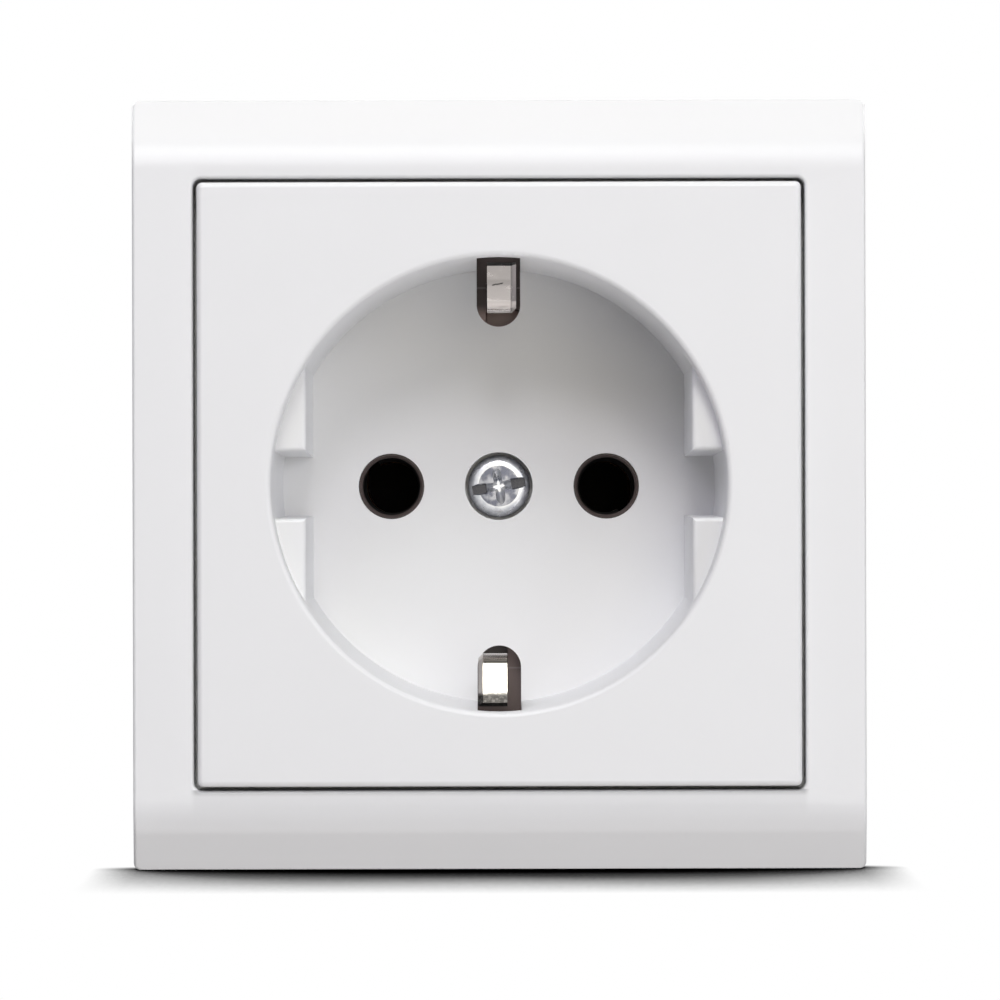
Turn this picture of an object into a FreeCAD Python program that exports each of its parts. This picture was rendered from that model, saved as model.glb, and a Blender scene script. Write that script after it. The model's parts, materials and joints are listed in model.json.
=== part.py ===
import FreeCAD, Part
import math
import os
import re
import Sketcher

# Flush wall socket for earthed round-pin plugs, with side earth tongues.
# X runs right, Z up and the front faces -Y. The origin is the middle of the wall plane.
# Depths are measured forward of the wall, along -Y, so what lies in the wall is negative.

SIZES = {
    # Plug interface
    "pin_pitch": 19.0,
    "pin_hole": 5.1,
    "pin_lead": 0.2,
    "well_dia": 39.1,
    "well_depth": 17.5,
    "well_draft": 0.45,
    "well_wall": 1.5,
    "well_floor": 1.6,
    "rim_round": 0.5,
    "guide_span": 32.8,
    "guide_draft": 0.2,
    "guide_recess": 2.5,
    "guide_round": 0.4,
    "notch_height": 5.2,
    "notch_draft": 0.3,
    "slot_width": 3.85,
    "slot_reach": 5.45,
    # Centre plate
    "plate_border": 6.35,
    "plate_proud": 0.6,
    "plate_face": 1.8,
    "plate_skirt": 1.5,
    "plate_skirt_depth": 4.8,
    "plate_corner": 0.5,
    "plate_edge": 0.5,
    "plate_rib": 1.0,
    "plate_rib_depth": 3.0,
    # Cover frame
    "plate_gap": 0.35,
    "frame_side": 5.69,
    "frame_draft": 0.5,
    "frame_top": 6.95,
    "frame_depth": 10.0,
    "frame_wall": 2.0,
    "frame_collar": 1.3,
    "frame_corner": 0.6,
    "frame_edge": 0.3,
    "opening_corner": 0.7,
    "slope_run": 6.2,
    "slope_angle": 42.0,
    "bend_radius": 4.6,
    "ledge_lap": 1.7,
    "ledge_thick": 1.6,
    "frame_rib": 1.0,
    "frame_rib_spread": 15.0,
    "frame_rib_low": 1.4,
    "frame_rib_lap": 1.0,
    # Centre screw
    "head_dia": 5.5,
    "head_height": 2.0,
    "head_round": 1.0,
    "head_play": 0.25,
    "head_sink": 0.2,
    "screw_dia": 3.0,
    "screw_length": 12.0,
    "screw_slot": 0.8,
    "screw_slot_depth": 0.9,
    "boss_wall": 1.5,
    "boss_floor": 1.3,
    "boss_play": 0.2,
    "hole_play": 0.1,
    "hole_spare": 0.5,
    # Contact base and rear cover
    "leg_clear": 0.35,
    "base_lip": 0.45,
    "base_depth": 18.5,
    "base_corner": 5.0,
    "base_edge": 0.5,
    "base_groove": 1.0,
    "base_groove_width": 3.0,
    "base_groove_spread": 7.5,
    "base_front_wall": 2.3,
    "base_wall": 1.4,
    "collar_dia": 5.7,
    "collar_play": 0.05,
    "peg_dia": 3.0,
    "peg_set": 3.5,
    "cover_thick": 1.8,
    "cover_edge": 0.6,
    "window_lead": 0.5,
    "gauge_length": 11.0,
    "gauge_width": 2.2,
    "gauge_depth": 0.5,
    "rear_screw_rise": 13.0,
    "rear_screw_dia": 2.2,
    "rear_screw_length": 9.0,
    "rear_head_dia": 4.4,
    "rear_head_height": 1.3,
    # Pin contacts and terminals
    "sleeve_bore": 4.6,
    "contact_thick": 0.7,
    "contact_gap": 2.5,
    "contact_seat": 1.3,
    "sleeve_lead": 0.4,
    "slit_angle": 60.0,
    "spring_thick": 0.5,
    "spring_length": 7.0,
    "spring_play": 0.05,
    "spring_set": 2.5,
    "spring_start": 25.0,
    "spring_wrap": 230.0,
    "chamber_clear": 0.3,
    "terminal_rise": 12.0,
    "terminal_depth": 9.5,
    "terminal_reach": 4.0,
    "terminal_clear": 0.6,
    "wire_gap": 2.6,
    "wire_window": 4.4,
    "clamp_thick": 1.2,
    "clamp_length": 7.6,
    "terminal_dia": 3.0,
    "terminal_head": 5.6,
    "terminal_head_height": 2.2,
    "terminal_tip": 0.8,
    "driver_play": 0.5,
    # Earth strap
    "strap_width": 8.0,
    "strap_thick": 0.8,
    "strap_play": 0.1,
    "strap_neck": 1.4,
    "arm_reach": 3.6,
    "arm_lug": 12.4,
    "tongue_width": 2.5,
    "tongue_thick": 0.75,
    "tongue_play": 0.08,
    "tongue_top_shift": 0.35,
    "tongue_rise": 3.1,
    "tongue_bulge": 0.2,
    "tongue_top_lift": 0.3,
    "tongue_bend": 6.0,
    "tongue_slope": 65.0,
    "tongue_tip": 0.8,
    "tongue_tip_set": 0.75,
    "tongue_bevel": 0.4,
    "tongue_round": 0.85,
    "tongue_fold": 2.0,
    # Support ring
    "ring_thick": 1.0,
    "ring_play": 0.3,
    "ring_gap": 1.2,
    "ring_cut": 7.0,
    "ring_bore_clear": 0.6,
    "ring_notch": 1.5,
    "ring_notch_width": 9.0,
    "fold_round": 0.8,
    "box_pitch": 60.0,
    "box_hole": 3.6,
    "leg_width": 14.0,
    "leg_lap": 6.5,
    "lug_reach": 1.8,
    "lug_length": 4.2,
    # Spreading claws
    "claw_thick": 1.2,
    "claw_gap": 0.4,
    "claw_side_play": 1.0,
    "claw_pivot": 7.5,
    "claw_lever": 3.0,
    "claw_length": 14.0,
    "claw_tooth": 2.4,
    "claw_notch": 0.7,
    "claw_round": 0.4,
    "claw_tab": 2.9,
    "claw_window": 3.8,
    "claw_window_length": 9.5,
    "claw_slot": 3.8,
    "claw_slot_set": 0.2,
    "claw_slot_width": 3.3,
    "trunnion_dia": 1.4,
    "trunnion_play": 0.05,
    "trunnion_end": 0.1,
    "claw_screw_dia": 2.9,
    "claw_screw_length": 15.0,
    "claw_head_dia": 5.0,
    "claw_head_height": 1.8,
    # How far a cut reaches past the face that it opens
    "cut_over": 1.0,
    "cut_start": 0.1,
}

# Places worked out from the sizes, as expressions
plate_half = "(well_dia/2 + plate_border)"
opening_half = f"({plate_half} + plate_gap)"
frame_half_x = f"({opening_half} + frame_side)"
frame_half_z = f"({opening_half} + frame_top)"
front = "(frame_depth + plate_proud)"
face_back = f"({front} - plate_face)"
skirt_back = f"({front} - plate_skirt_depth)"
floor_front = f"({front} - well_depth)"
base_front = f"({floor_front} - well_floor)"
head_seat = f"({floor_front} - head_sink - head_height)"
strap_front = f"({head_seat} - boss_floor)"
strap_back = f"({strap_front} - strap_thick)"
base_back = f"({base_front} - base_depth)"
chamber_front = f"({base_front} - base_front_wall)"
cup_front_radius = "(well_dia/2 + well_wall)"
cup_floor_radius = "(well_dia/2 - well_draft + well_wall)"
base_half = "(well_dia/2 + well_wall + leg_clear)"
base_half_z = f"({cup_front_radius} + base_lip)"
slot_end = "(well_dia/2 - slot_reach)"
pin_x = "(pin_pitch/2)"
sleeve_in = "(sleeve_bore/2)"
sleeve_out = "(sleeve_bore/2 + contact_thick)"
tail_out = f"({pin_x} + {sleeve_out})"
tail_in = f"({pin_x} + {sleeve_in})"
contact_front = f"({chamber_front} - contact_gap)"
terminal_front = f"({base_front} - terminal_depth)"
clamp_in = f"({tail_out} + wire_gap)"
clamp_out = f"({clamp_in} + clamp_thick)"
leg_out = f"({base_half} + ring_thick)"
pivot_x = f"({leg_out} + claw_gap + claw_thick/2)"
claw_screw_x = f"({pivot_x} + claw_lever)"
cover_back = f"({base_back} - cover_thick)"
terminal_low = "(terminal_rise - terminal_reach - terminal_clear)"
terminal_high = "(terminal_rise + terminal_reach + terminal_clear)"
chamber_out = f"({base_half} - base_wall)"
chamber_in = f"({tail_in} - terminal_tip - terminal_clear)"
neck_start = f"({slot_end} - strap_neck)"
tongue_root = f"({slot_end} + tongue_rise)"
tongue_end = "(well_dia/2 - tongue_tip_set)"
tongue_front = f"({face_back} - tongue_tip)"
fold_front = f"({strap_back} + tongue_bend)"
strap_end = f"({tongue_root} + tongue_thick)"

FRONT_PLANE = "XZ_Plane"
SIDE_PLANE = "YZ_Plane"
LEVEL_PLANE = "XY_Plane"

SIDES = ("-1", "1")

# Each terminal's side and level: live left and up, neutral right and down, earth right and up
TERMINALS = {"live": ("-1", "1"), "neutral": ("1", "-1"), "earth": ("1", "1")}

# Each tongue's level, the side of the slot that it keeps to, how far it stands off that side and how
# much further from the middle its crest is
TONGUES = {"-1": ("-1", "0", "0"), "1": ("1", "tongue_top_shift", "tongue_top_lift")}

# Tolerances of the tests that pick edges, in millimetres
TIGHT = 0.01
LOOSE = 0.1

doc = FreeCAD.newDocument("wall_socket")
sheet = doc.addObject("Spreadsheet::Sheet", "sizes")
for row, (alias, value) in enumerate(SIZES.items(), start=1):
    sheet.set(f"A{row}", alias.replace("_", " "))
    sheet.set(f"B{row}", str(value))
    sheet.setAlias(f"B{row}", alias)
doc.recompute()

nodes = []


def cells(expression):
    """An expression with each size written as its spreadsheet cell."""
    def cell(word):
        return f"sizes.{word[0]}" if word[0] in SIZES else word[0]

    return re.sub(r"[a-z_]+", cell, expression)


def number(expression):
    """The present value of an expression."""
    return float(sheet.evalExpression(cells(expression)))


def new_body(label):
    """An empty body that becomes one sub-part."""
    body = doc.addObject("PartDesign::Body", label)
    body.Label = label
    nodes.append(body)
    return body


def new_sketch(body, name, plane, offset):
    """A sketch on one of the body's own planes, moved along its normal."""
    sketch = body.newObject("Sketcher::SketchObject", f"{body.Name}_{name}_sketch")
    support = next(item for item in body.Origin.OriginFeatures if item.Role == plane)
    sketch.AttachmentSupport = [(support, "")]
    sketch.MapMode = "FlatFace"
    sketch.setExpression("AttachmentOffset.Base.z", cells(offset))
    return sketch


def constrain(sketch, expression, kind, *where):
    """One dimension of a sketch, bound to the sheet."""
    index = sketch.addConstraint(Sketcher.Constraint(kind, *where, number(expression)))
    sketch.setExpression(f"Constraints[{index}]", cells(expression))


def circle(u, v, diameter):
    """A circle for a sketch."""

    def draw(sketch):
        middle = FreeCAD.Vector(number(u), number(v), 0)
        shape = Part.Circle(middle, FreeCAD.Vector(0, 0, 1), number(diameter) / 2)
        index = sketch.addGeometry(shape, False)
        constrain(sketch, diameter, "Diameter", index)
        constrain(sketch, u, "DistanceX", -1, 1, index, 3)
        constrain(sketch, v, "DistanceY", -1, 1, index, 3)

    return draw


def outline(*points):
    """A closed outline for a sketch. A point's third entry makes the run after it an arc of that
    radius, which turns left where the fourth entry is 1 and right where it is -1."""

    def draw(sketch):
        ends = [FreeCAD.Vector(number(point[0]), number(point[1]), 0) for point in points]
        starts = []
        stops = []
        for index, point in enumerate(points):
            here, after = ends[index], ends[(index + 1) % len(points)]
            if len(point) == 2:
                line = sketch.addGeometry(Part.LineSegment(here, after), False)
                starts.append((line, 1))
                stops.append((line, 2))
                continue
            radius, turn = number(point[2]), point[3]
            chord = after - here
            rise = math.sqrt(max(radius**2 - (chord.Length / 2) ** 2, 0))
            across = FreeCAD.Vector(-chord.y, chord.x, 0).normalize()
            middle = here + chord * 0.5 + across * (rise * turn)
            first, last = (here, after) if turn > 0 else (after, here)
            angles = [math.atan2(end.y - middle.y, end.x - middle.x) for end in (first, last)]
            ring = Part.Circle(middle, FreeCAD.Vector(0, 0, 1), radius)
            arc = sketch.addGeometry(Part.ArcOfCircle(ring, *angles), False)
            constrain(sketch, point[2], "Radius", arc)
            starts.append((arc, 1 if turn > 0 else 2))
            stops.append((arc, 2 if turn > 0 else 1))
        for index, point in enumerate(points):
            after = (index + 1) % len(points)
            sketch.addConstraint(Sketcher.Constraint("Coincident", *stops[index], *starts[after]))
            constrain(sketch, point[0], "DistanceX", -1, 1, *starts[index])
            constrain(sketch, point[1], "DistanceY", -1, 1, *starts[index])

    return draw


def rectangle(left, right, low, high):
    """A rectangle between two values each way."""
    return outline((left, low), (right, low), (right, high), (left, high))


def square(half, half_high=None):
    """A rectangle around the middle."""
    high = half_high or half
    return rectangle(f"-{half}", half, f"-{high}", high)


def spans(side, low, high):
    """Two distances from the middle as a lower and a higher place on one side."""
    return (low, high) if side == "1" else (f"-{high}", f"-{low}")


def settle(feature):
    """Recomputes the document and stops at a feature that failed."""
    doc.recompute()
    if {"Invalid", "Error"} & set(feature.State) or feature.Shape.isNull():
        raise RuntimeError(f"{feature.Name}: {feature.getStatusString()}")
    return feature


def add_feature(body, kind, name, sketch):
    """A sketch-based feature at the body's tip."""
    feature = body.newObject(f"PartDesign::{kind}", f"{body.Name}_{name}")
    feature.Profile = sketch
    return feature


def pad(body, name, plane, low, high, *draws):
    """Material between two offsets of a plane."""
    sketch = new_sketch(body, name, plane, low)
    for draw in draws:
        draw(sketch)
    feature = add_feature(body, "Pad", name, sketch)
    feature.setExpression("Length", cells(f"{high} - {low}"))
    return settle(feature)


def pocket(body, name, plane, low, high, *draws):
    """A cut between two offsets of a plane."""
    before = body.Shape.Volume
    sketch = new_sketch(body, name, plane, high)
    for draw in draws:
        draw(sketch)
    feature = add_feature(body, "Pocket", name, sketch)
    feature.setExpression("Length", cells(f"{high} - {low}"))
    settle(feature)
    if body.Shape.Volume >= before:
        raise RuntimeError(f"{feature.Name} cuts nothing")
    return feature


def turn(body, name, kind, *draws):
    """A full turn about the Y axis of a section drawn in the level plane."""
    sketch = new_sketch(body, name, LEVEL_PLANE, "0")
    for draw in draws:
        draw(sketch)
    feature = add_feature(body, kind, name, sketch)
    feature.ReferenceAxis = (sketch, ["V_Axis"])
    return settle(feature)


def loft(body, name, back, front_end, back_draw, front_draw):
    """Material that changes from one outline to another."""
    first = new_sketch(body, f"{name}_back", FRONT_PLANE, back)
    back_draw(first)
    last = new_sketch(body, f"{name}_front", FRONT_PLANE, front_end)
    front_draw(last)
    feature = add_feature(body, "AdditiveLoft", name, first)
    feature.Sections = [last]
    feature.Ruled = True
    return settle(feature)


def dress(body, kind, name, size, test):
    """A fillet or chamfer on the edges of the tip that pass a test of their geometry."""
    base = body.Tip
    edges = [f"Edge{index}" for index, edge in enumerate(base.Shape.Edges, start=1) if test(edge)]
    if not edges:
        raise RuntimeError(f"{body.Label} has no edge for {name}")
    feature = body.newObject(f"PartDesign::{kind}", f"{body.Name}_{name}")
    feature.Base = (base, edges)
    feature.setExpression("Radius" if kind == "Fillet" else "Size", cells(size))
    return settle(feature)


def along(edge, axis):
    """Is this a straight edge along an axis?"""
    if edge.Curve.TypeId != "Part::GeomLine":
        return False
    direction = edge.tangentAt(edge.FirstParameter)
    return abs(getattr(direction, axis)) > 1 - TIGHT


def middle_of(edge):
    """The point halfway along an edge."""
    return edge.valueAt((edge.FirstParameter + edge.LastParameter) / 2)


def near(value, expression, tolerance=TIGHT):
    """Is a coordinate at an expression's value?"""
    return abs(value - number(expression)) < tolerance


def at_depth(edge, depth):
    """Does a whole edge lie at one depth forward of the wall?"""
    box = edge.BoundBox
    return near(-box.YMin, depth) and near(-box.YMax, depth)


def frame_section(inset, back):
    """The frame's section across its height: flat front, bends and slopes, moved in by a wall."""
    bend = f"(bend_radius - {inset})"
    sine, cosine, tangent = (f"{name}(slope_angle * 1deg)" for name in ("sin", "cos", "tan"))
    flat = f"({frame_half_z} - slope_run)"
    bend_depth = f"(frame_depth - bend_radius + {bend}*{cosine})"
    bend_rise = f"({flat} + {bend}*{sine})"
    edge_rise = f"({frame_half_z} - {inset})"
    edge_depth = f"({bend_depth} - ({edge_rise} - {bend_rise})*{tangent})"
    face = f"(frame_depth - {inset})"
    return outline(
        (f"-{back}", f"-{edge_rise}"),
        (f"-{back}", edge_rise),
        (f"-{edge_depth}", edge_rise),
        (f"-{bend_depth}", bend_rise, bend, 1),
        (f"-{face}", flat),
        (f"-{face}", f"-{flat}", bend, 1),
        (f"-{bend_depth}", f"-{bend_rise}"),
        (f"-{edge_depth}", f"-{edge_rise}"),
    )


def make_cover_frame():
    """Hollow moulded frame with a collar and a ledge that carry the centre plate."""
    body = new_body("cover_frame")
    pad(body, "block", SIDE_PLANE, f"-{frame_half_x}", frame_half_x, frame_section("0", "0"))
    past_side = f"({frame_half_x} + cut_over)"
    past_end = f"({frame_half_z} + cut_over)"
    for side in SIDES:
        wedge = outline(
            (f"{side}*{frame_half_x}", "0"),
            (f"{side}*{past_side}", "0"),
            (f"{side}*{past_side}", "-frame_depth"),
            (f"{side}*({frame_half_x} - frame_draft)", "-frame_depth"),
        )
        pocket(body, f"draft_{side}", LEVEL_PLANE, f"-{past_end}", past_end, wedge)
    dress(body, "Fillet", "corners", "frame_corner", lambda edge: along(edge, "y"))
    outer_x = number(f"{frame_half_x} - frame_draft - frame_corner")
    outer_z = number(f"{frame_half_z} - frame_corner/2")

    def on_rim(edge):
        point = middle_of(edge)
        outside = abs(point.x) > outer_x or abs(point.z) > outer_z
        return point.y < -TIGHT and outside and not along(edge, "y")

    dress(body, "Fillet", "edges", "frame_edge", on_rim)
    inner_x = f"({frame_half_x} - frame_wall)"
    pocket(body, "hollow", SIDE_PLANE, f"-{inner_x}", inner_x, frame_section("frame_wall", "(-cut_over)"))
    collar = f"({opening_half} + frame_collar)"
    ledge_back = f"({skirt_back} - ledge_thick)"
    pad(body, "collar", FRONT_PLANE, ledge_back, "(frame_depth - frame_wall)", square(collar))
    pocket(body, "opening", FRONT_PLANE, skirt_back, "(frame_depth + cut_over)", square(opening_half))
    ledge = f"({plate_half} - ledge_lap)"
    below, above = f"({ledge_back} - cut_over)", f"({skirt_back} + cut_over)"
    pocket(body, "ledge", FRONT_PLANE, below, above, square(ledge))

    def opening_corner(edge):
        point = middle_of(edge)
        at_corner = near(abs(point.x), opening_half) and near(abs(point.z), opening_half)
        return along(edge, "y") and at_corner

    dress(body, "Fillet", "opening_corners", "opening_corner", opening_corner)

    def opening_edge(edge):
        reach = max(abs(middle_of(edge).x), abs(middle_of(edge).z))
        return at_depth(edge, "frame_depth") and reach < number(opening_half) + LOOSE

    dress(body, "Fillet", "opening_edge", "frame_edge", opening_edge)
    wall_rib = f"({frame_half_x} - frame_wall/2)"
    height_rib = f"({frame_half_z} - frame_wall/2)"
    rib_front = "(frame_depth - frame_wall/2)"
    low_rib_front = f"({ledge_back} + frame_rib_lap)"
    for side in SIDES:
        for place in SIDES:
            middle = f"{place}*frame_rib_spread"
            across = (f"({middle} - frame_rib/2)", f"({middle} + frame_rib/2)")
            rib = rectangle(*spans(side, collar, wall_rib), *across)
            pad(body, f"rib_side_{side}_{place}", FRONT_PLANE, ledge_back, rib_front, rib)
            rib = rectangle(*across, *spans(side, collar, height_rib))
            pad(body, f"rib_end_{side}_{place}", FRONT_PLANE, "frame_rib_low", low_rib_front, rib)
    return body


def guide_block(half_x, low, radius, side, level):
    """A guide block's outline: a flat towards the plug, the notch face and an arc in the wall."""
    turned = int(side) * int(level)
    corner_x = f"{side}*sqrt({radius}^2 - {low}^2)"
    corner_z = f"{level}*sqrt({radius}^2 - {half_x}^2)"
    return outline(
        (f"{side}*{half_x}", f"{level}*{low}"),
        (corner_x, f"{level}*{low}", radius, turned),
        (f"{side}*{half_x}", corner_z),
    )


def slot_outline(level):
    """An earth slot from its round end out through the well's wall."""
    half = "(slot_width/2)"
    outer = f"{level}*({cup_front_radius} + cut_over)"
    bend = f"{level}*({slot_end} + {half})"
    return outline(
        (f"-{half}", outer),
        (f"-{half}", bend, half, int(level)),
        ("0", f"{level}*{slot_end}", half, int(level)),
        (half, bend),
        (half, outer),
    )


def make_centre_plate():
    """Square plate with the plug well, its guide blocks, pin holes and earth slots."""
    body = new_body("centre_plate")
    pad(body, "face", FRONT_PLANE, face_back, front, square(plate_half))
    inner = f"({plate_half} - plate_skirt)"
    pad(body, "skirt", FRONT_PLANE, skirt_back, face_back, square(plate_half), square(inner))
    floor_back = base_front
    cup = outline(
        ("0", f"-{face_back}"),
        (cup_front_radius, f"-{face_back}"),
        (cup_floor_radius, f"-{floor_back}"),
        ("0", f"-{floor_back}"),
    )
    turn(body, "cup", "Revolution", cup)
    recess = "(head_dia + 2*head_play)"
    boss = f"({recess} + 2*boss_wall)"
    pad(body, "boss", FRONT_PLANE, strap_front, floor_back, circle("0", "0", boss))
    rim = "(well_dia/2 + rim_round)"
    well = outline(
        ("0", f"-{front} - cut_over"),
        (rim, f"-{front} - cut_over"),
        (rim, f"-{front}", "rim_round", -1),
        ("well_dia/2", f"-{front} + rim_round"),
        ("(well_dia/2 - well_draft)", f"-{floor_front}"),
        ("0", f"-{floor_front}"),
    )
    turn(body, "well", "Groove", well)
    blocks_front = f"({front} - guide_recess)"
    flat_back, flat_front = "(guide_span/2)", "(guide_span/2 + guide_draft)"
    notch_back, notch_front = "(notch_height/2)", "(notch_height/2 + notch_draft)"
    arc_back = f"({cup_floor_radius} - well_wall/2)"
    arc_front = f"({cup_front_radius} - well_wall/2)"
    for side in SIDES:
        for level in SIDES:
            back_end = guide_block(flat_back, notch_back, arc_back, side, level)
            front_end = guide_block(flat_front, notch_front, arc_front, side, level)
            loft(body, f"guide_{side}_{level}", floor_front, blocks_front, back_end, front_end)

    def guide_edge(edge):
        point = middle_of(edge)
        on_flat = near(abs(point.x), flat_front)
        return at_depth(edge, blocks_front) and (on_flat or near(abs(point.z), notch_front))

    dress(body, "Fillet", "guide_edges", "guide_round", guide_edge)
    under_floor, over_floor = f"({floor_back} - cut_start)", f"({floor_front} + cut_start)"
    for level in SIDES:
        pocket(body, f"slot_{level}", FRONT_PLANE, under_floor, face_back, slot_outline(level))
    collar_hole = "(collar_dia + 2*collar_play)"
    holes = [circle(f"{side}*{pin_x}", "0", collar_hole) for side in SIDES]
    pocket(body, "pin_holes", FRONT_PLANE, under_floor, over_floor, *holes)
    pocket(body, "screw_recess", FRONT_PLANE, head_seat, over_floor, circle("0", "0", recess))
    screw_hole = circle("0", "0", "(screw_dia + 2*hole_play)")
    under_boss, over_seat = f"({strap_front} - cut_over)", f"({head_seat} + cut_start)"
    pocket(body, "screw_hole", FRONT_PLANE, under_boss, over_seat, screw_hole)
    rib_back = f"({face_back} - plate_rib_depth)"
    for side in SIDES:
        for level in SIDES:
            start = f"({cup_front_radius} - well_wall/2)*cos(45deg)"
            end = f"({plate_half} - plate_skirt/2)"
            half = "plate_rib*cos(45deg)/2"
            rib = outline(
                (f"{side}*({start} + {half})", f"{level}*({start} - {half})"),
                (f"{side}*{end}", f"{level}*({end} - 2*{half})"),
                (f"{side}*{end}", f"{level}*{end}"),
                (f"{side}*({end} - 2*{half})", f"{level}*{end}"),
                (f"{side}*({start} - {half})", f"{level}*({start} + {half})"),
            )
            pad(body, f"rib_{side}_{level}", FRONT_PLANE, rib_back, face_back, rib)

    def plate_corner(edge):
        point = middle_of(edge)
        at_corner = near(abs(point.x), plate_half) and near(abs(point.z), plate_half)
        return along(edge, "y") and at_corner

    dress(body, "Fillet", "corners", "plate_corner", plate_corner)

    def plate_edge(edge):
        point = middle_of(edge)
        reach = max(abs(point.x), abs(point.z))
        return at_depth(edge, front) and reach > number(f"{plate_half} - 2*plate_corner")

    dress(body, "Fillet", "edges", "plate_edge", plate_edge)
    return body


def make_screw(label, plane, place, way, shank, cap):
    """A pan-head screw along a plane's normal, its head on the seat and facing the given way."""
    u, v, seat = place
    dia, length = shank
    head, height, round_over = cap
    body = new_body(label)
    tip = f"({seat} - {way}*{length})"
    top = f"({seat} + {way}*{height})"
    low, high = sorted((tip, seat), key=number)
    pad(body, "shank", plane, low, high, circle(u, v, dia))
    low, high = sorted((seat, top), key=number)
    pad(body, "head", plane, low, high, circle(u, v, head))
    normal = {FRONT_PLANE: "y", SIDE_PLANE: "x"}[plane]
    sign = -1 if plane == FRONT_PLANE else 1

    def level(edge, depth, width):
        place = getattr(edge.CenterOfMass, normal) * sign
        return near(place, depth) and near(edge.BoundBox.DiagonalLength, f"{width}*sqrt(2)", LOOSE)

    dress(body, "Fillet", "crown", round_over, lambda edge: level(edge, top, head))
    dress(body, "Chamfer", "point", f"{dia}/8", lambda edge: level(edge, tip, dia))
    slot = "(screw_slot/2)"
    floor, above = f"({top} - {way}*screw_slot_depth)", f"({top} + {way}*cut_over)"
    low, high = sorted((floor, above), key=number)
    groove = rectangle(f"({u} - {head})", f"({u} + {head})", f"({v} - {slot})", f"({v} + {slot})")
    pocket(body, "driver_slot", plane, low, high, groove)
    return body


def rounded_block(body, name, back, front_end):
    """The base's outline, with its four upright corners rounded."""
    pad(body, name, FRONT_PLANE, back, front_end, square(base_half, base_half_z))
    dress(body, "Fillet", f"{name}_corners", "base_corner", lambda edge: along(edge, "y"))


def terminal_chamber(side, level):
    """The chamber of a pin contact: the sleeve's part and, beyond it, the terminal's part."""
    room = f"({sleeve_out} + spring_play + spring_thick + chamber_clear)"
    inboard = f"({pin_x} - {room})"
    beside = f"({tail_out} + chamber_clear)"
    points = (
        (inboard, f"-{room}"),
        (beside, f"-{room}"),
        (beside, terminal_low),
        (chamber_out, terminal_low),
        (chamber_out, terminal_high),
        (chamber_in, terminal_high),
        (chamber_in, terminal_low),
        (inboard, terminal_low),
    )
    return outline(*((f"{side}*{x}", f"{level}*{z}") for x, z in points))


def arm_groove(play):
    """The outline of the earth strap's arm, as wide as it is or with play around it."""
    rise = f"(arm_reach + {play})"
    low, high = f"(terminal_rise - {rise})", f"(terminal_rise + {rise})"
    return rectangle("0", f"({tail_out} + {play})", low, high)


def neck_outline(level, play):
    """The outline of the strap's neck behind a tongue, as wide as it is or with play around it."""
    side, shift, _ = TONGUES[level]
    outside = f"(slot_width/2 - tongue_play - {shift} + {play})"
    inside = f"({outside} - tongue_width - 2*{play})"
    low, high = spans(level, neck_start, f"({strap_end} + {play})")
    return rectangle(*spans(side, inside, outside), low, high)


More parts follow.
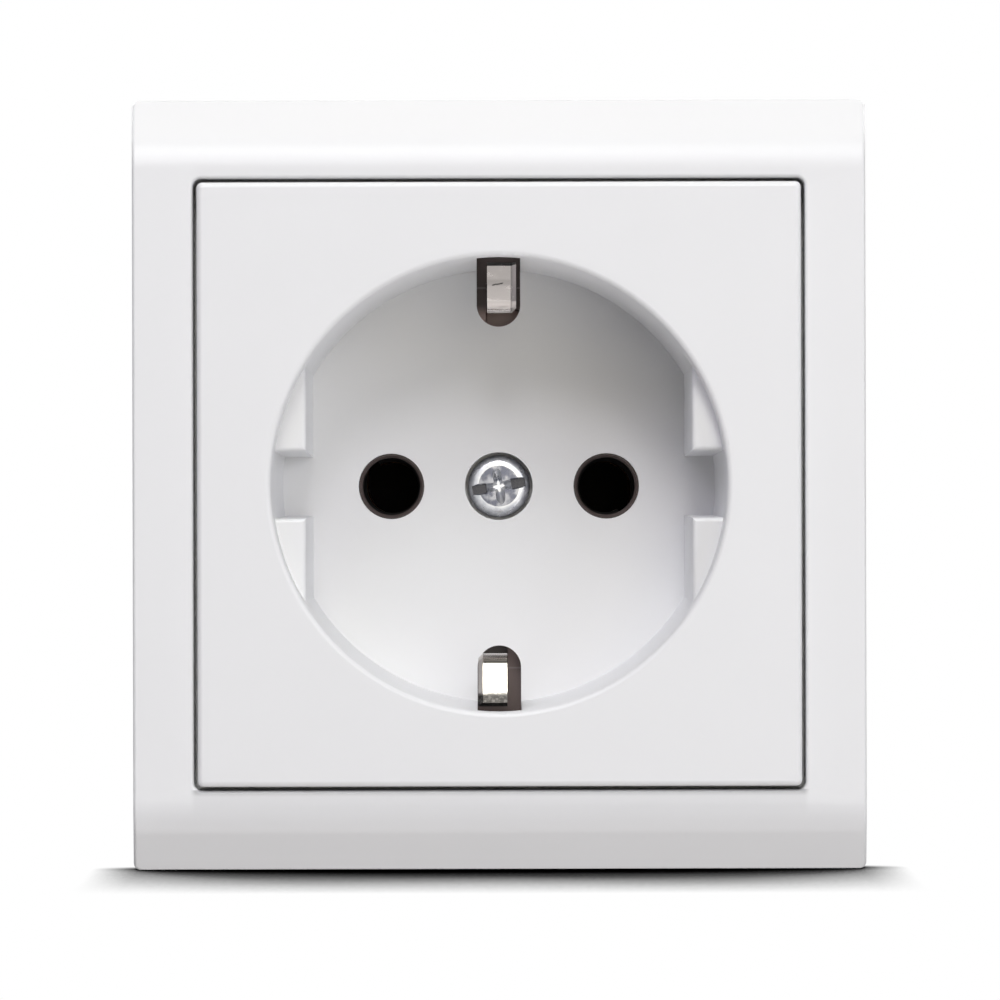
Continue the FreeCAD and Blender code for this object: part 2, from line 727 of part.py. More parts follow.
def make_contact_base():
    """Dark moulded base with pin collars, contact chambers and the earth strap's groove."""
    body = new_body("contact_base")
    rounded_block(body, "block", base_back, base_front)
    dress(body, "Chamfer", "edge", "base_edge", lambda edge: at_depth(edge, base_front))
    for name, side in (("left", "-1"), ("right", "1")):
        collar = circle(f"{side}*{pin_x}", "0", "collar_dia")
        pad(body, f"collar_{name}", FRONT_PLANE, base_front, floor_front, collar)
    past_back = f"({base_back} - cut_over)"
    for name in ("live", "neutral"):
        room = terminal_chamber(*TERMINALS[name])
        pocket(body, f"{name}_chamber", FRONT_PLANE, past_back, chamber_front, room)
    room = rectangle(chamber_in, chamber_out, terminal_low, terminal_high)
    pocket(body, "earth_chamber", FRONT_PLANE, past_back, strap_back, room)
    bores = [circle(f"{side}*{pin_x}", "0", "pin_hole") for side in SIDES]
    bore_back, bore_front = f"({chamber_front} - cut_start)", f"({floor_front} + cut_over)"
    pocket(body, "pin_bores", FRONT_PLANE, bore_back, bore_front, *bores)

    def mouth(edge):
        return at_depth(edge, floor_front) and near(edge.Length, "pin_hole*pi", LOOSE)

    dress(body, "Chamfer", "pin_leads", "pin_lead", mouth)
    past_front = f"({base_front} + cut_start)"
    groove = square("(strap_width/2 + strap_play)", f"({neck_start} + strap_play)")
    pocket(body, "strap_groove", FRONT_PLANE, strap_back, past_front, groove)
    pocket(body, "arm_groove", FRONT_PLANE, strap_back, past_front, arm_groove("strap_play"))
    for level in SIDES:
        neck = neck_outline(level, "strap_play")
        pocket(body, f"neck_groove_{level}", FRONT_PLANE, strap_back, past_front, neck)
    boss = circle("0", "0", "(head_dia + 2*head_play + 2*boss_wall + 2*boss_play)")
    pocket(body, "boss_room", FRONT_PLANE, strap_front, past_front, boss)
    screw_end = f"({head_seat} - screw_length - hole_spare)"
    screw_room = circle("0", "0", "(screw_dia + 4*hole_play)")
    pocket(body, "screw_room", FRONT_PLANE, screw_end, strap_front, screw_room)
    for name, side in (("left", "-1"), ("right", "1")):
        peg = circle(f"-({base_front} - peg_set)", "0", "peg_dia")
        pad(body, f"peg_{name}", SIDE_PLANE, *spans(side, base_half, leg_out), peg)
    for name, (side, level) in TERMINALS.items():
        low, high = spans(side, f"({chamber_out} - cut_start)", f"({base_half} + cut_over)")
        hole_dia = "(terminal_head + 2*driver_play)"
        hole = circle(f"-{terminal_front}", f"{level}*terminal_rise", hole_dia)
        pocket(body, f"{name}_driver_hole", SIDE_PLANE, low, high, hole)
    rear_hole_end = f"({cover_back} + rear_screw_length + hole_spare)"
    for name, level in (("bottom", "-1"), ("top", "1")):
        hole = circle("0", f"{level}*rear_screw_rise", "(rear_screw_dia + hole_play)")
        pocket(body, f"rear_hole_{name}", FRONT_PLANE, past_back, rear_hole_end, hole)
    grooves = []
    for side in SIDES:
        middle = f"{side}*base_groove_spread"
        across = (f"({middle} - base_groove_width/2)", f"({middle} + base_groove_width/2)")
        for level in SIDES:
            reach = spans(level, f"({base_half_z} - base_groove)", f"({base_half_z} + cut_over)")
            grooves.append(rectangle(*across, *reach))
    groove_front = f"({chamber_front} - base_groove_width)"
    pocket(body, "side_grooves", FRONT_PLANE, past_back, groove_front, *grooves)
    return body


def make_rear_cover():
    """Moulded back cover with a wire window behind each terminal."""
    body = new_body("rear_cover")
    rounded_block(body, "plate", cover_back, base_back)
    dress(body, "Chamfer", "edge", "cover_edge", lambda edge: at_depth(edge, cover_back))
    below, above = f"({cover_back} - cut_over)", f"({base_back} + cut_over)"
    inside = f"({tail_out} - strap_play)"
    for name, (side, level) in TERMINALS.items():
        left, right = spans(side, inside, f"({inside} + wire_window)")
        low, high = spans(level, "(terminal_rise - terminal_reach)", "(terminal_rise + terminal_reach)")
        window = rectangle(left, right, low, high)
        pocket(body, f"{name}_window", FRONT_PLANE, below, above, window)

    def window_edge(edge):
        point = middle_of(edge)
        within = max(abs(point.x), abs(point.z)) < number(chamber_out)
        return at_depth(edge, cover_back) and within

    dress(body, "Chamfer", "window_leads", "window_lead", window_edge)
    for name, level in (("bottom", "-1"), ("top", "1")):
        hole = circle("0", f"{level}*rear_screw_rise", "(rear_screw_dia + 2*hole_play)")
        pocket(body, f"hole_{name}", FRONT_PLANE, below, above, hole)
    across = ("(-terminal_rise - gauge_length/2)", "(-terminal_rise + gauge_length/2)")
    rise = ("(-terminal_rise - gauge_width/2)", "(-terminal_rise + gauge_width/2)")
    gauge_floor = f"({cover_back} + gauge_depth)"
    pocket(body, "strip_gauge", FRONT_PLANE, below, gauge_floor, rectangle(*across, *rise))
    return body


def polar(side, level, radius, angle):
    """A point around a pin's axis, at an angle from the outboard side towards the terminal."""
    return (
        f"{side}*({pin_x} + {radius}*cos({angle} * 1deg))",
        f"{level}*({radius}*sin({angle} * 1deg))",
    )


def make_pin_contact(label, side, level):
    """One strip rolled round the pin, with a straight tail that is the terminal's plate."""
    body = new_body(label)
    hand = int(side) * int(level)
    end = "(slit_angle)"
    half = "(slit_angle/2 - 180)"
    tail_top = "(terminal_rise + terminal_reach)"
    strip = outline(
        (f"{side}*{tail_out}", f"{level}*{tail_top}"),
        (f"{side}*{tail_out}", "0", sleeve_out, -hand),
        (*polar(side, level, sleeve_out, half), sleeve_out, -hand),
        polar(side, level, sleeve_out, end),
        (*polar(side, level, sleeve_in, end), sleeve_in, hand),
        (*polar(side, level, sleeve_in, half), sleeve_in, hand),
        (f"{side}*{tail_in}", "0"),
        (f"{side}*{tail_in}", f"{level}*{tail_top}"),
    )
    pad(body, "strip", FRONT_PLANE, f"({base_back} + contact_seat)", contact_front, strip)

    def mouth(edge):
        bent = edge.Curve.TypeId == "Part::GeomCircle"
        return bent and at_depth(edge, contact_front) and near(edge.Curve.Radius, sleeve_in)

    dress(body, "Chamfer", "mouth", "sleeve_lead", mouth)
    terminal_hole(body, side, level, tail_in, tail_out)
    return body


def terminal_hole(body, side, level, inside, outside):
    """The hole that a terminal screw turns in."""
    low, high = spans(side, f"({inside} - hole_spare)", f"({outside} + hole_spare)")
    hole = circle(f"-{terminal_front}", f"{level}*terminal_rise", "(terminal_dia + 2*hole_play)")
    pocket(body, "screw_hole", SIDE_PLANE, low, high, hole)


def make_contact_spring(label, side, level):
    """Steel spring that backs the sleeve, open at its slit."""
    body = new_body(label)
    hand = int(side) * int(level)
    inner = f"({sleeve_out} + spring_play)"
    outer = f"({inner} + spring_thick)"
    begin, half, end = "(-spring_start)", "(-spring_start - spring_wrap/2)", "(-spring_start - spring_wrap)"
    clip = outline(
        (*polar(side, level, outer, begin), outer, -hand),
        (*polar(side, level, outer, half), outer, -hand),
        polar(side, level, outer, end),
        (*polar(side, level, inner, end), inner, hand),
        (*polar(side, level, inner, half), inner, hand),
        polar(side, level, inner, begin),
    )
    spring_front = f"({contact_front} - spring_set)"
    pad(body, "clip", FRONT_PLANE, f"({spring_front} - spring_length)", spring_front, clip)
    return body


def make_clamp(label, side, level):
    """Square plate under the head of a terminal screw."""
    body = new_body(label)
    reach = "(terminal_reach - strap_play)"
    half = "(clamp_length/2)"
    depth = f"-{terminal_front}"
    low, high = spans(level, f"(terminal_rise - {reach})", f"(terminal_rise + {reach})")
    left, right = spans(side, clamp_in, clamp_out)
    plate = rectangle(f"({depth} - {half})", f"({depth} + {half})", low, high)
    pad(body, "plate", SIDE_PLANE, left, right, plate)
    terminal_hole(body, side, level, clamp_in, clamp_out)
    return body


def tongue_path(level):
    """A tongue's face and back as depths and distances from the middle: root, fold, crest and tip."""
    crest = f"({slot_end} + tongue_bulge + {TONGUES[level][2]})"
    slope = "(tongue_slope * 1deg)"
    crest_front = f"({tongue_front} - ({tongue_end} - {crest})/tan({slope}))"
    lean = f"atan(({tongue_root} - {crest})/({crest_front} - {fold_front}))"
    face = (
        (strap_back, tongue_root),
        (fold_front, tongue_root),
        (crest_front, crest),
        (tongue_front, tongue_end),
    )
    mitre = f"tongue_thick/cos(({lean} + {slope})/2)"
    offsets = (
        ("0", "tongue_thick"),
        (f"tongue_thick*tan({lean}/2)", "tongue_thick"),
        (f"{mitre}*sin(({lean} - {slope})/2)", f"{mitre}*cos(({lean} - {slope})/2)"),
        (f"(-tongue_thick*sin({slope}))", f"tongue_thick*cos({slope})"),
    )
    back = [(f"({y} + {dy})", f"({z} + {dz})") for (y, z), (dy, dz) in zip(face, offsets)]
    return face, back


def tongue_outline(level):
    """An earth tongue's section, as thick at its bends as between them."""
    face, back = tongue_path(level)
    return outline(*((f"-{depth}", f"{level}*{rise}") for depth, rise in (*face, *reversed(back))))


def make_earth_strap():
    """Nickel-plated stamping: strap, two sprung tongues on their necks and a terminal lug."""
    body = new_body("earth_strap")
    pad(body, "strip", FRONT_PLANE, strap_back, strap_front, square("(strap_width/2)", neck_start))
    pad(body, "arm", FRONT_PLANE, strap_back, strap_front, arm_groove("0"))
    rise_low, rise_high = "(terminal_rise - arm_reach)", "(terminal_rise + arm_reach)"
    lug = rectangle(f"({tail_out} - strap_thick)", tail_out, rise_low, rise_high)
    pad(body, "lug", FRONT_PLANE, f"({strap_front} - arm_lug)", strap_front, lug)
    for level, (side, shift, _) in TONGUES.items():
        pad(body, f"neck_{level}", FRONT_PLANE, strap_back, strap_front, neck_outline(level, "0"))
        outside = f"(slot_width/2 - tongue_play - {shift})"
        low, high = spans(side, f"({outside} - tongue_width)", outside)
        pad(body, f"tongue_{level}", SIDE_PLANE, low, high, tongue_outline(level))
    tongue_dress(body)
    below, above = f"({strap_back} - cut_over)", f"({strap_front} + cut_over)"
    pocket(body, "centre_hole", FRONT_PLANE, below, above, circle("0", "0", "(screw_dia + hole_play)"))
    terminal_hole(body, "1", "1", f"({tail_out} - strap_thick)", tail_out)
    return body


def tongue_dress(body):
    """Rounds a tongue's crest and fold on both faces and bevels one margin of its lead-in."""

    def bend(level, depth, rise):
        def test(edge):
            point = middle_of(edge)
            return along(edge, "x") and near(point.z, f"{level}*{rise}") and near(-point.y, depth)

        return test

    for level in TONGUES:
        face, back = tongue_path(level)
        for name, index, front_round, back_round in (
            ("crest", 2, "(tongue_round + tongue_thick)", "tongue_round"),
            ("fold", 1, "tongue_fold", "(tongue_fold + tongue_thick)"),
        ):
            dress(body, "Fillet", f"{name}_face_{level}", front_round, bend(level, *face[index]))
            dress(body, "Fillet", f"{name}_back_{level}", back_round, bend(level, *back[index]))

    def margin(edge):
        point = middle_of(edge)
        level = "1" if point.z > 0 else "-1"
        side, shift, _ = TONGUES[level]
        crest, tip = ([number(value) for value in place] for place in tongue_path(level)[0][2:])
        share = (-point.y - crest[0]) / (tip[0] - crest[0])
        line = crest[1] + share * (tip[1] - crest[1])
        on_face = abs(abs(point.z) - line) < LOOSE
        on_side = near(point.x, f"{side}*(slot_width/2 - tongue_play - {shift})")
        straight = edge.Curve.TypeId == "Part::GeomLine"
        return on_side and on_face and straight and 0 < share < 1

    dress(body, "Chamfer", "margins", "tongue_bevel", margin)


def make_support_ring():
    """Galvanised ring with box-screw holes and two folded legs with lugs for the claws."""
    body = new_body("support_ring")
    half_x = f"({frame_half_x} - frame_wall - ring_play)"
    half_z = f"({frame_half_z} - frame_wall - ring_gap)"
    plate = outline(
        (f"-{half_x}", f"-({half_z} - ring_cut)"),
        (f"-({half_x} - ring_cut)", f"-{half_z}"),
        (f"({half_x} - ring_cut)", f"-{half_z}"),
        (half_x, f"-({half_z} - ring_cut)"),
        (half_x, f"({half_z} - ring_cut)"),
        (f"({half_x} - ring_cut)", half_z),
        (f"-({half_x} - ring_cut)", half_z),
        (f"-{half_x}", f"({half_z} - ring_cut)"),
    )
    bore = circle("0", "0", f"(2*({base_half} + ring_bore_clear))")
    pad(body, "plate", FRONT_PLANE, "0", "ring_thick", plate, bore)
    notch_half = "(ring_notch_width/2)"
    under, over = "(-cut_start)", "(ring_thick + cut_start)"
    for name, level in (("bottom", "-1"), ("top", "1")):
        low, high = spans(level, f"({half_z} - ring_notch)", f"({half_z} + cut_over)")
        notch = rectangle(f"-{notch_half}", notch_half, low, high)
        pocket(body, f"notch_{name}", FRONT_PLANE, under, over, notch)
    leg_half = "(leg_width/2)"
    leg_back = f"({base_front} - leg_lap)"
    lug_middle = "(-claw_pivot)"
    lug_back, lug_front = f"({lug_middle} - lug_length/2)", f"({lug_middle} + lug_length/2)"
    for name, side in (("left", "-1"), ("right", "1")):
        left, right = spans(side, base_half, leg_out)
        leg = rectangle(left, right, f"-{leg_half}", leg_half)
        pad(body, f"leg_{name}", FRONT_PLANE, leg_back, "ring_thick", leg)
        left, right = spans(side, base_half, f"({pivot_x} + lug_reach)")
        for level in SIDES:
            low, high = spans(level, f"({leg_half} - ring_thick)", leg_half)
            lug = rectangle(left, right, low, high)
            pad(body, f"lug_{name}_{level}", FRONT_PLANE, lug_back, lug_front, lug)
        notch = "(trunnion_dia/2 + trunnion_play)"
        left, right = spans(side, f"({pivot_x} - {notch})", f"({pivot_x} + {notch})")
        slot = outline(
            (left, f"-({lug_back} - cut_over)"),
            (left, "claw_pivot", notch, 1),
            (f"{side}*{pivot_x}", f"(claw_pivot - {notch})", notch, 1),
            (right, "claw_pivot"),
            (right, f"-({lug_back} - cut_over)"),
        )
        low, high = f"(-{leg_half} - cut_over)", f"({leg_half} + cut_over)"
        pocket(body, f"trunnion_slot_{name}", LEVEL_PLANE, low, high, slot)
        low, high = spans(side, f"({base_half} - cut_over)", f"({leg_out} + cut_start)")
        peg = circle(f"-({base_front} - peg_set)", "0", "(peg_dia + hole_play)")
        pocket(body, f"peg_hole_{name}", SIDE_PLANE, low, high, peg)
    place = "(box_pitch/2*cos(45deg))"
    holes = [circle(f"{x}*{place}", f"{z}*{place}", "box_hole") for x in SIDES for z in SIDES]
    screw_hole = "(claw_screw_dia + 4*hole_play)"
    holes += [circle(f"{x}*{claw_screw_x}", "0", screw_hole) for x in SIDES]
    pocket(body, "holes", FRONT_PLANE, under, over, *holes)

    def fold(edge):
        point = middle_of(edge)
        return along(edge, "z") and near(abs(point.x), leg_out) and near(point.y, "0")

    dress(body, "Fillet", "folds", "fold_round", fold)
    return body


def make_claw(label, side):
    """Bent lever on trunnions: a slotted tab at the screw and a forked blade with teeth."""
    body = new_body(label)
    half = "(claw_thick/2)"
    width = "(leg_width/2 - ring_thick - claw_side_play)"
    near_x, far_x = f"({pivot_x} - {half})", f"({pivot_x} + {half})"
    tab_x = f"({claw_screw_x} + claw_tab)"
    bend = "(claw_pivot + claw_length)"
    lift = "(claw_thick*cos(45deg))"
    points = (
        (near_x, f"(claw_pivot - {half})"),
        (tab_x, f"(claw_pivot - {half})"),
        (tab_x, f"(claw_pivot + {half})"),
        (far_x, f"(claw_pivot + {half})"),
        (far_x, bend),
        (f"({far_x} + claw_tooth)", f"({bend} + claw_tooth)"),
        (f"({far_x} + claw_tooth - {lift})", f"({bend} + claw_tooth + {lift})"),
        (near_x, f"({bend} + claw_thick*tan(22.5deg))"),
    )
    lever = outline(*((f"{side}*{x}", y) for x, y in points))
    pad(body, "lever", LEVEL_PLANE, f"-{width}", width, lever)

    def fold(edge):
        place = abs(middle_of(edge).x)
        return along(edge, "z") and (near(place, near_x) or near(place, far_x))

    dress(body, "Fillet", "folds", "claw_round", fold)
    trunnion = "(leg_width/2 - trunnion_end)"
    pin = circle(f"{side}*{pivot_x}", "claw_pivot", "trunnion_dia")
    pad(body, "trunnion", LEVEL_PLANE, f"-{trunnion}", trunnion, pin)
    fork = "(claw_window/2)"
    window_ends = ("(claw_pivot + claw_thick)", "(claw_pivot + claw_window_length)")
    window = rectangle(*window_ends, f"-{fork}", fork)
    low, high = spans(side, f"({near_x} - hole_spare)", f"({far_x} + hole_spare)")
    pocket(body, "window", SIDE_PLANE, low, high, window)
    slot = "(claw_slot_width/2)"
    slot_middle = f"({claw_screw_x} + claw_slot_set)"
    left, right = spans(side, f"({slot_middle} - claw_slot/2)", f"({slot_middle} + claw_slot/2)")
    low, high = "(-claw_pivot - claw_thick)", "(-claw_pivot + claw_thick)"
    pocket(body, "screw_slot", FRONT_PLANE, low, high, rectangle(left, right, f"-{slot}", slot))
    gap = f"({width}/3)"
    root = f"{side}*({far_x} + claw_tooth/4)"
    out = f"{side}*({far_x} + claw_tooth + cut_over)"
    notches = []
    for level in SIDES:
        middle = f"{level}*{gap}"
        corners = (f"{middle}*(1 - claw_notch)", f"{middle}*(1 + claw_notch)")
        notches.append(outline((root, middle), (out, corners[0]), (out, corners[1])))
    low, high = f"(-({bend} + 2*claw_tooth + cut_over))", f"(-{bend} + cut_over)"
    pocket(body, "teeth", FRONT_PLANE, low, high, *notches)
    return body


make_cover_frame()
make_centre_plate()
make_screw(
    "centre_screw",
    FRONT_PLANE,
    ("0", "0", head_seat),
    "1",
    ("screw_dia", "screw_length"),
    ("head_dia", "head_height", "head_round"),
)
make_contact_base()
make_rear_cover()
for place, level in (("top", "1"), ("bottom", "-1")):
    make_screw(
        f"rear_cover_screw_{place}",
        FRONT_PLANE,
        ("0", f"{level}*rear_screw_rise", cover_back),
        "(-1)",
        ("rear_screw_dia", "rear_screw_length"),
        ("rear_head_dia", "rear_head_height", "rear_head_height/2"),
    )
make_support_ring()
for place, side in (("left", "-1"), ("right", "1")):
    make_claw(f"claw_{place}", side)
    make_screw(
        f"claw_screw_{place}",
        FRONT_PLANE,
        (f"{side}*{claw_screw_x}", "0", "ring_thick"),
        "1",
        ("claw_screw_dia", "claw_screw_length"),
        ("claw_head_dia", "claw_head_height", "claw_head_height/2"),
    )
make_earth_strap()
for name, (side, level) in TERMINALS.items():
    if name != "earth":
        make_pin_contact(f"{name}_contact", side, level)
        make_contact_spring(f"{name}_contact_spring", side, level)
    make_clamp(f"{name}_clamp", side, level)
    make_screw(
        f"{name}_terminal_screw",
        SIDE_PLANE,
        (f"-{terminal_front}", f"{level}*terminal_rise", f"{side}*{clamp_out}"),
        f"({side})",
        ("terminal_dia", f"({clamp_out} - {tail_in} + terminal_tip)"),
        ("terminal_head", "terminal_head_height", "terminal_head_height/3"),
    )

doc.recompute()
for item in doc.Objects:
    if {"Invalid", "Error"} & set(item.State):
        raise RuntimeError(f"{item.Label} failed: {item.State}")
for node in nodes:
    if node.Shape.isNull() or not node.Shape.isValid() or len(node.Shape.Solids) != 1:
        raise RuntimeError(f"{node.Label} is not one valid solid")

os.makedirs("parts", exist_ok=True)
for node in nodes:
    node.Shape.exportStep(f"parts/{node.Label}.step")
print(f"{len(nodes)} sub-parts written")
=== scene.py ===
import json
import math

import bmesh
import bpy
from bpy.props import FloatProperty, FloatVectorProperty, PointerProperty
from mathutils import Matrix, Vector

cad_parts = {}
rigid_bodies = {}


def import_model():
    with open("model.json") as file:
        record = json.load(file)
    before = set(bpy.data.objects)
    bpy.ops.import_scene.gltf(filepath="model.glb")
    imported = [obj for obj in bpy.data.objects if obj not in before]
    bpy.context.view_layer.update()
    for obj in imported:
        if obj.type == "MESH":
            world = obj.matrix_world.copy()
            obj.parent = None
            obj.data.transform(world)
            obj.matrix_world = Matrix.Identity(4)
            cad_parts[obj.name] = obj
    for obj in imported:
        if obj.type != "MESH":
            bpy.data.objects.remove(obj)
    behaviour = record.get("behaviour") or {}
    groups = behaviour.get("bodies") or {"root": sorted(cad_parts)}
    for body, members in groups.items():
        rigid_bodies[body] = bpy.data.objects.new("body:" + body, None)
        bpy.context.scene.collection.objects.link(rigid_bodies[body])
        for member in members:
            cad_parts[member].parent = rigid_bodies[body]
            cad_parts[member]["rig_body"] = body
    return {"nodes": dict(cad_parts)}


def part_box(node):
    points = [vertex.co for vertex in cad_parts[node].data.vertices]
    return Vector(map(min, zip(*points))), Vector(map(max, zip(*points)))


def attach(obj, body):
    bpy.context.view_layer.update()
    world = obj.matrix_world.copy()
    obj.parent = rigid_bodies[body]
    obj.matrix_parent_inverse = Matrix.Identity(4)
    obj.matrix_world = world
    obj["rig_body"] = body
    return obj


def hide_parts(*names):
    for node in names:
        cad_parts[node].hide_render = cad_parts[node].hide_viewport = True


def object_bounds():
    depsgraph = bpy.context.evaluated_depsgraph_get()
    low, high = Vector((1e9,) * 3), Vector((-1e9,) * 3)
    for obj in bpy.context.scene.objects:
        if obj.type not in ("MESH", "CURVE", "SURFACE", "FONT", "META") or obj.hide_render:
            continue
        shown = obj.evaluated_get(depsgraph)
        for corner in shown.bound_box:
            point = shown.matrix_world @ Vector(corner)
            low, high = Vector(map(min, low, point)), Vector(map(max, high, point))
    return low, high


bl_info = {
    "name": "Earthed wall socket",
    "version": (1, 0, 0),
    "blender": (4, 5, 0),
    "location": "3D View > Sidebar > Wall socket",
    "description": "Finishes, screws and a studio for a flush earthed wall socket",
    "category": "Object",
}

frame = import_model()
CAD_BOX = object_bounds()
MM = 0.001
BODY = "socket"
TARNISH_AND_SHADE = "tarnish"
BLACK = (0.0, 0.0, 0.0, 1.0)
WHITE = (1.0, 1.0, 1.0, 1.0)
# Black for the painted shade in the pin bores
BORE_SHADE = (0.002, 0.002, 0.002, 1.0)

# Places on the socket in millimetres from its middle
PIN_ASIDE = 9.5
BORE_RADIUS = 3.2
BORE_FRONT, BORE_BACK = 7.0, 27.6
PLATE_HALF, PLATE_LOW = 26.6, -26.15
SLOT_HALF, SLOT_BACK = 4.0, 17.0
UPPER_PALE_LINE, LOWER_PALE_LINE = 17.6, -16.1
UPPER_BEND, LOWER_BEND = 15.1, -15.0
FACE_RIGHT, FACE_LEFT = 0.95, -1.4
NICK_HEIGHT, DARK_BAND_HEIGHT = 17.7, 17.4
DARK_TIP_HEIGHT = -17.5
CONTACT_FRONT = 17.0

# Darkness painted on the faces of a screw's head: painted shade on the slot floors, and darker painted
# reflections on the flat top, recess and crown, with some tarnish on the flat top
FLAT_SHADE = 0.8
SLOT_SHADE = 1.0
RECESS_SHADE = 0.4
CROWN_SHADE = 0.35


# Properties

def colour(name, description, default):
    """A colour that a user may change."""
    return FloatVectorProperty(
        name=name, description=description, default=default, size=3, min=0, max=1, subtype="COLOR"
    )


def length(name, description, millimetres):
    """A length that a user may change, its default in millimetres."""
    return FloatProperty(
        name=name, description=description, default=millimetres * MM, precision=5, unit="LENGTH"
    )


def angle(name, description, degrees):
    """An angle that a user may change, its default in degrees."""
    turn = math.radians(degrees)
    return FloatProperty(
        name=name, description=description, default=turn, subtype="ANGLE", unit="ROTATION"
    )


def amount(name, description, default):
    """A plain number that a user may change."""
    return FloatProperty(name=name, description=description, default=default, min=0)


class SocketFinishes(bpy.types.PropertyGroup):
    white: colour("White plastic", "Colour of the frame and the centre plate", (0.80, 0.80, 0.81))
    gloss: amount("White plastic roughness", "Middle roughness of the white mouldings", 0.4)
    dark: colour("Dark moulding", "Colour of the contact base and its cover", (0.062, 0.047, 0.044))
    zinc: colour("Zinc plate", "Colour of the screws", (0.95, 0.96, 0.98))
    nickel: colour("Nickel plate", "Colour of the earth strap", (0.68, 0.63, 0.60))
    galvanised: colour("Galvanised steel", "Colour of the support ring and claws", (0.52, 0.54, 0.55))
    bronze: colour("Bronze", "Colour of the pin contacts", (0.62, 0.36, 0.17))
    spring: colour("Spring steel", "Colour of the contact springs", (0.30, 0.31, 0.33))
    brass: colour("Brass", "Colour of the wire clamps", (0.72, 0.53, 0.24))


class SocketScrews(bpy.types.PropertyGroup):
    turn: angle("Centre screw turn", "How far the centre screw's slot is turned", 9.5)
    slot_width: length("Slot width", "Width of the driver slot", 0.8)
    slot_depth: length("Slot depth", "Depth of the driver slot", 0.9)
    cross_depth: length("Cross depth", "Depth of the cross recess", 0.9)
    fine_pitch: length("Metal thread pitch", "Pitch of the machine screws", 0.5)
    coarse_pitch: length("Plastic thread pitch", "Pitch of the screws that cut into plastic", 0.9)


class SocketStudio(bpy.types.PropertyGroup):
    distance: length("Camera distance", "From the camera to the plate's front", 521)
    aside: length("Camera aside", "How far the camera stands to the right", -1.0)
    height: length("Camera height", "How far the camera stands above the socket's middle", -5.5)
    aim_x: length("Aim across", "Place at the picture's middle, across", 0.049)
    aim_z: length("Aim height", "Place at the picture's middle, above the socket's middle", -1.367)
    roll: angle("Camera roll", "Turn of the picture", 0.14)
    lens: amount("Lens", "Focal length in millimetres on a 36 mm sensor", 219.06)
    upper: amount("Upper lamp", "Power of the small lamp above and in front", 2.1)
    fore: amount("Fore lamp", "Power of the small lamp in front and a little above", 2.32)
    upper_left: amount("Upper left lamp", "Power of the lamp above and to the left", 2.95)
    overhead: amount("Overhead lamp", "Power of the lamp straight above", 1.79)
    front: amount("Front lamp", "Power of the low lamp in front", 1.58)
    right: amount("Right lamp", "Power of the low lamp to the right", 2.45)
    below: amount("Floor glow", "Power of the light that the floor throws up", 3.45)
    below_right: amount("Floor glow at the right", "Power of the light from the floor further out", 1.55)
    rear_left: amount("Rear left lamp", "Power of the lamp behind and to the left", 4.0)
    rear_right: amount("Rear right lamp", "Power of the lamp behind and to the right", 4.0)
    glow: amount("Floor brightness", "What the floor gives back as soft light", 0.05)
    air: amount("Ambient light", "Strength of the light from all round", 0.02)


# Shader maths

class Signal:
    """An output in a material's node tree. Arithmetic on it adds Math nodes."""

    def __init__(self, tree, output=None):
        self.tree = tree
        self.output = output

    def node(self, kind, settings=None, inputs=None, output=0):
        """A new node, with its settings made first and then its sockets set or linked."""
        made = self.tree.nodes.new(kind)
        for name, value in (settings or {}).items():
            setattr(made, name, value)
        for name, value in (inputs or {}).items():
            if isinstance(value, Signal):
                self.tree.links.new(value.output, made.inputs[name])
            else:
                made.inputs[name].default_value = value
        return Signal(self.tree, made.outputs[output])

    def maths(self, operation, *values):
        """A Math node on one or two values."""
        return self.node("ShaderNodeMath", {"operation": operation}, dict(enumerate(values)))

    def __add__(self, other):
        return self.maths("ADD", self, other)

    def __radd__(self, other):
        return self.maths("ADD", other, self)

    def __sub__(self, other):
        return self.maths("SUBTRACT", self, other)

    def __rsub__(self, other):
        return self.maths("SUBTRACT", other, self)

    def __mul__(self, other):
        return self.maths("MULTIPLY", self, other)

    def __rmul__(self, other):
        return self.maths("MULTIPLY", other, self)

    def __abs__(self):
        return self.maths("ABSOLUTE", self)


def opaque(shade, scale=1.0):
    """A colour with full alpha, made lighter or darker."""
    return tuple(min(1.0, part * scale) for part in shade) + (1.0,)


def ramp(value, low, high):
    """0 at one value and 1 at another, in a straight line between them."""
    return value.node(
        "ShaderNodeMapRange", inputs={"Value": value, "From Min": low, "From Max": high}
    )


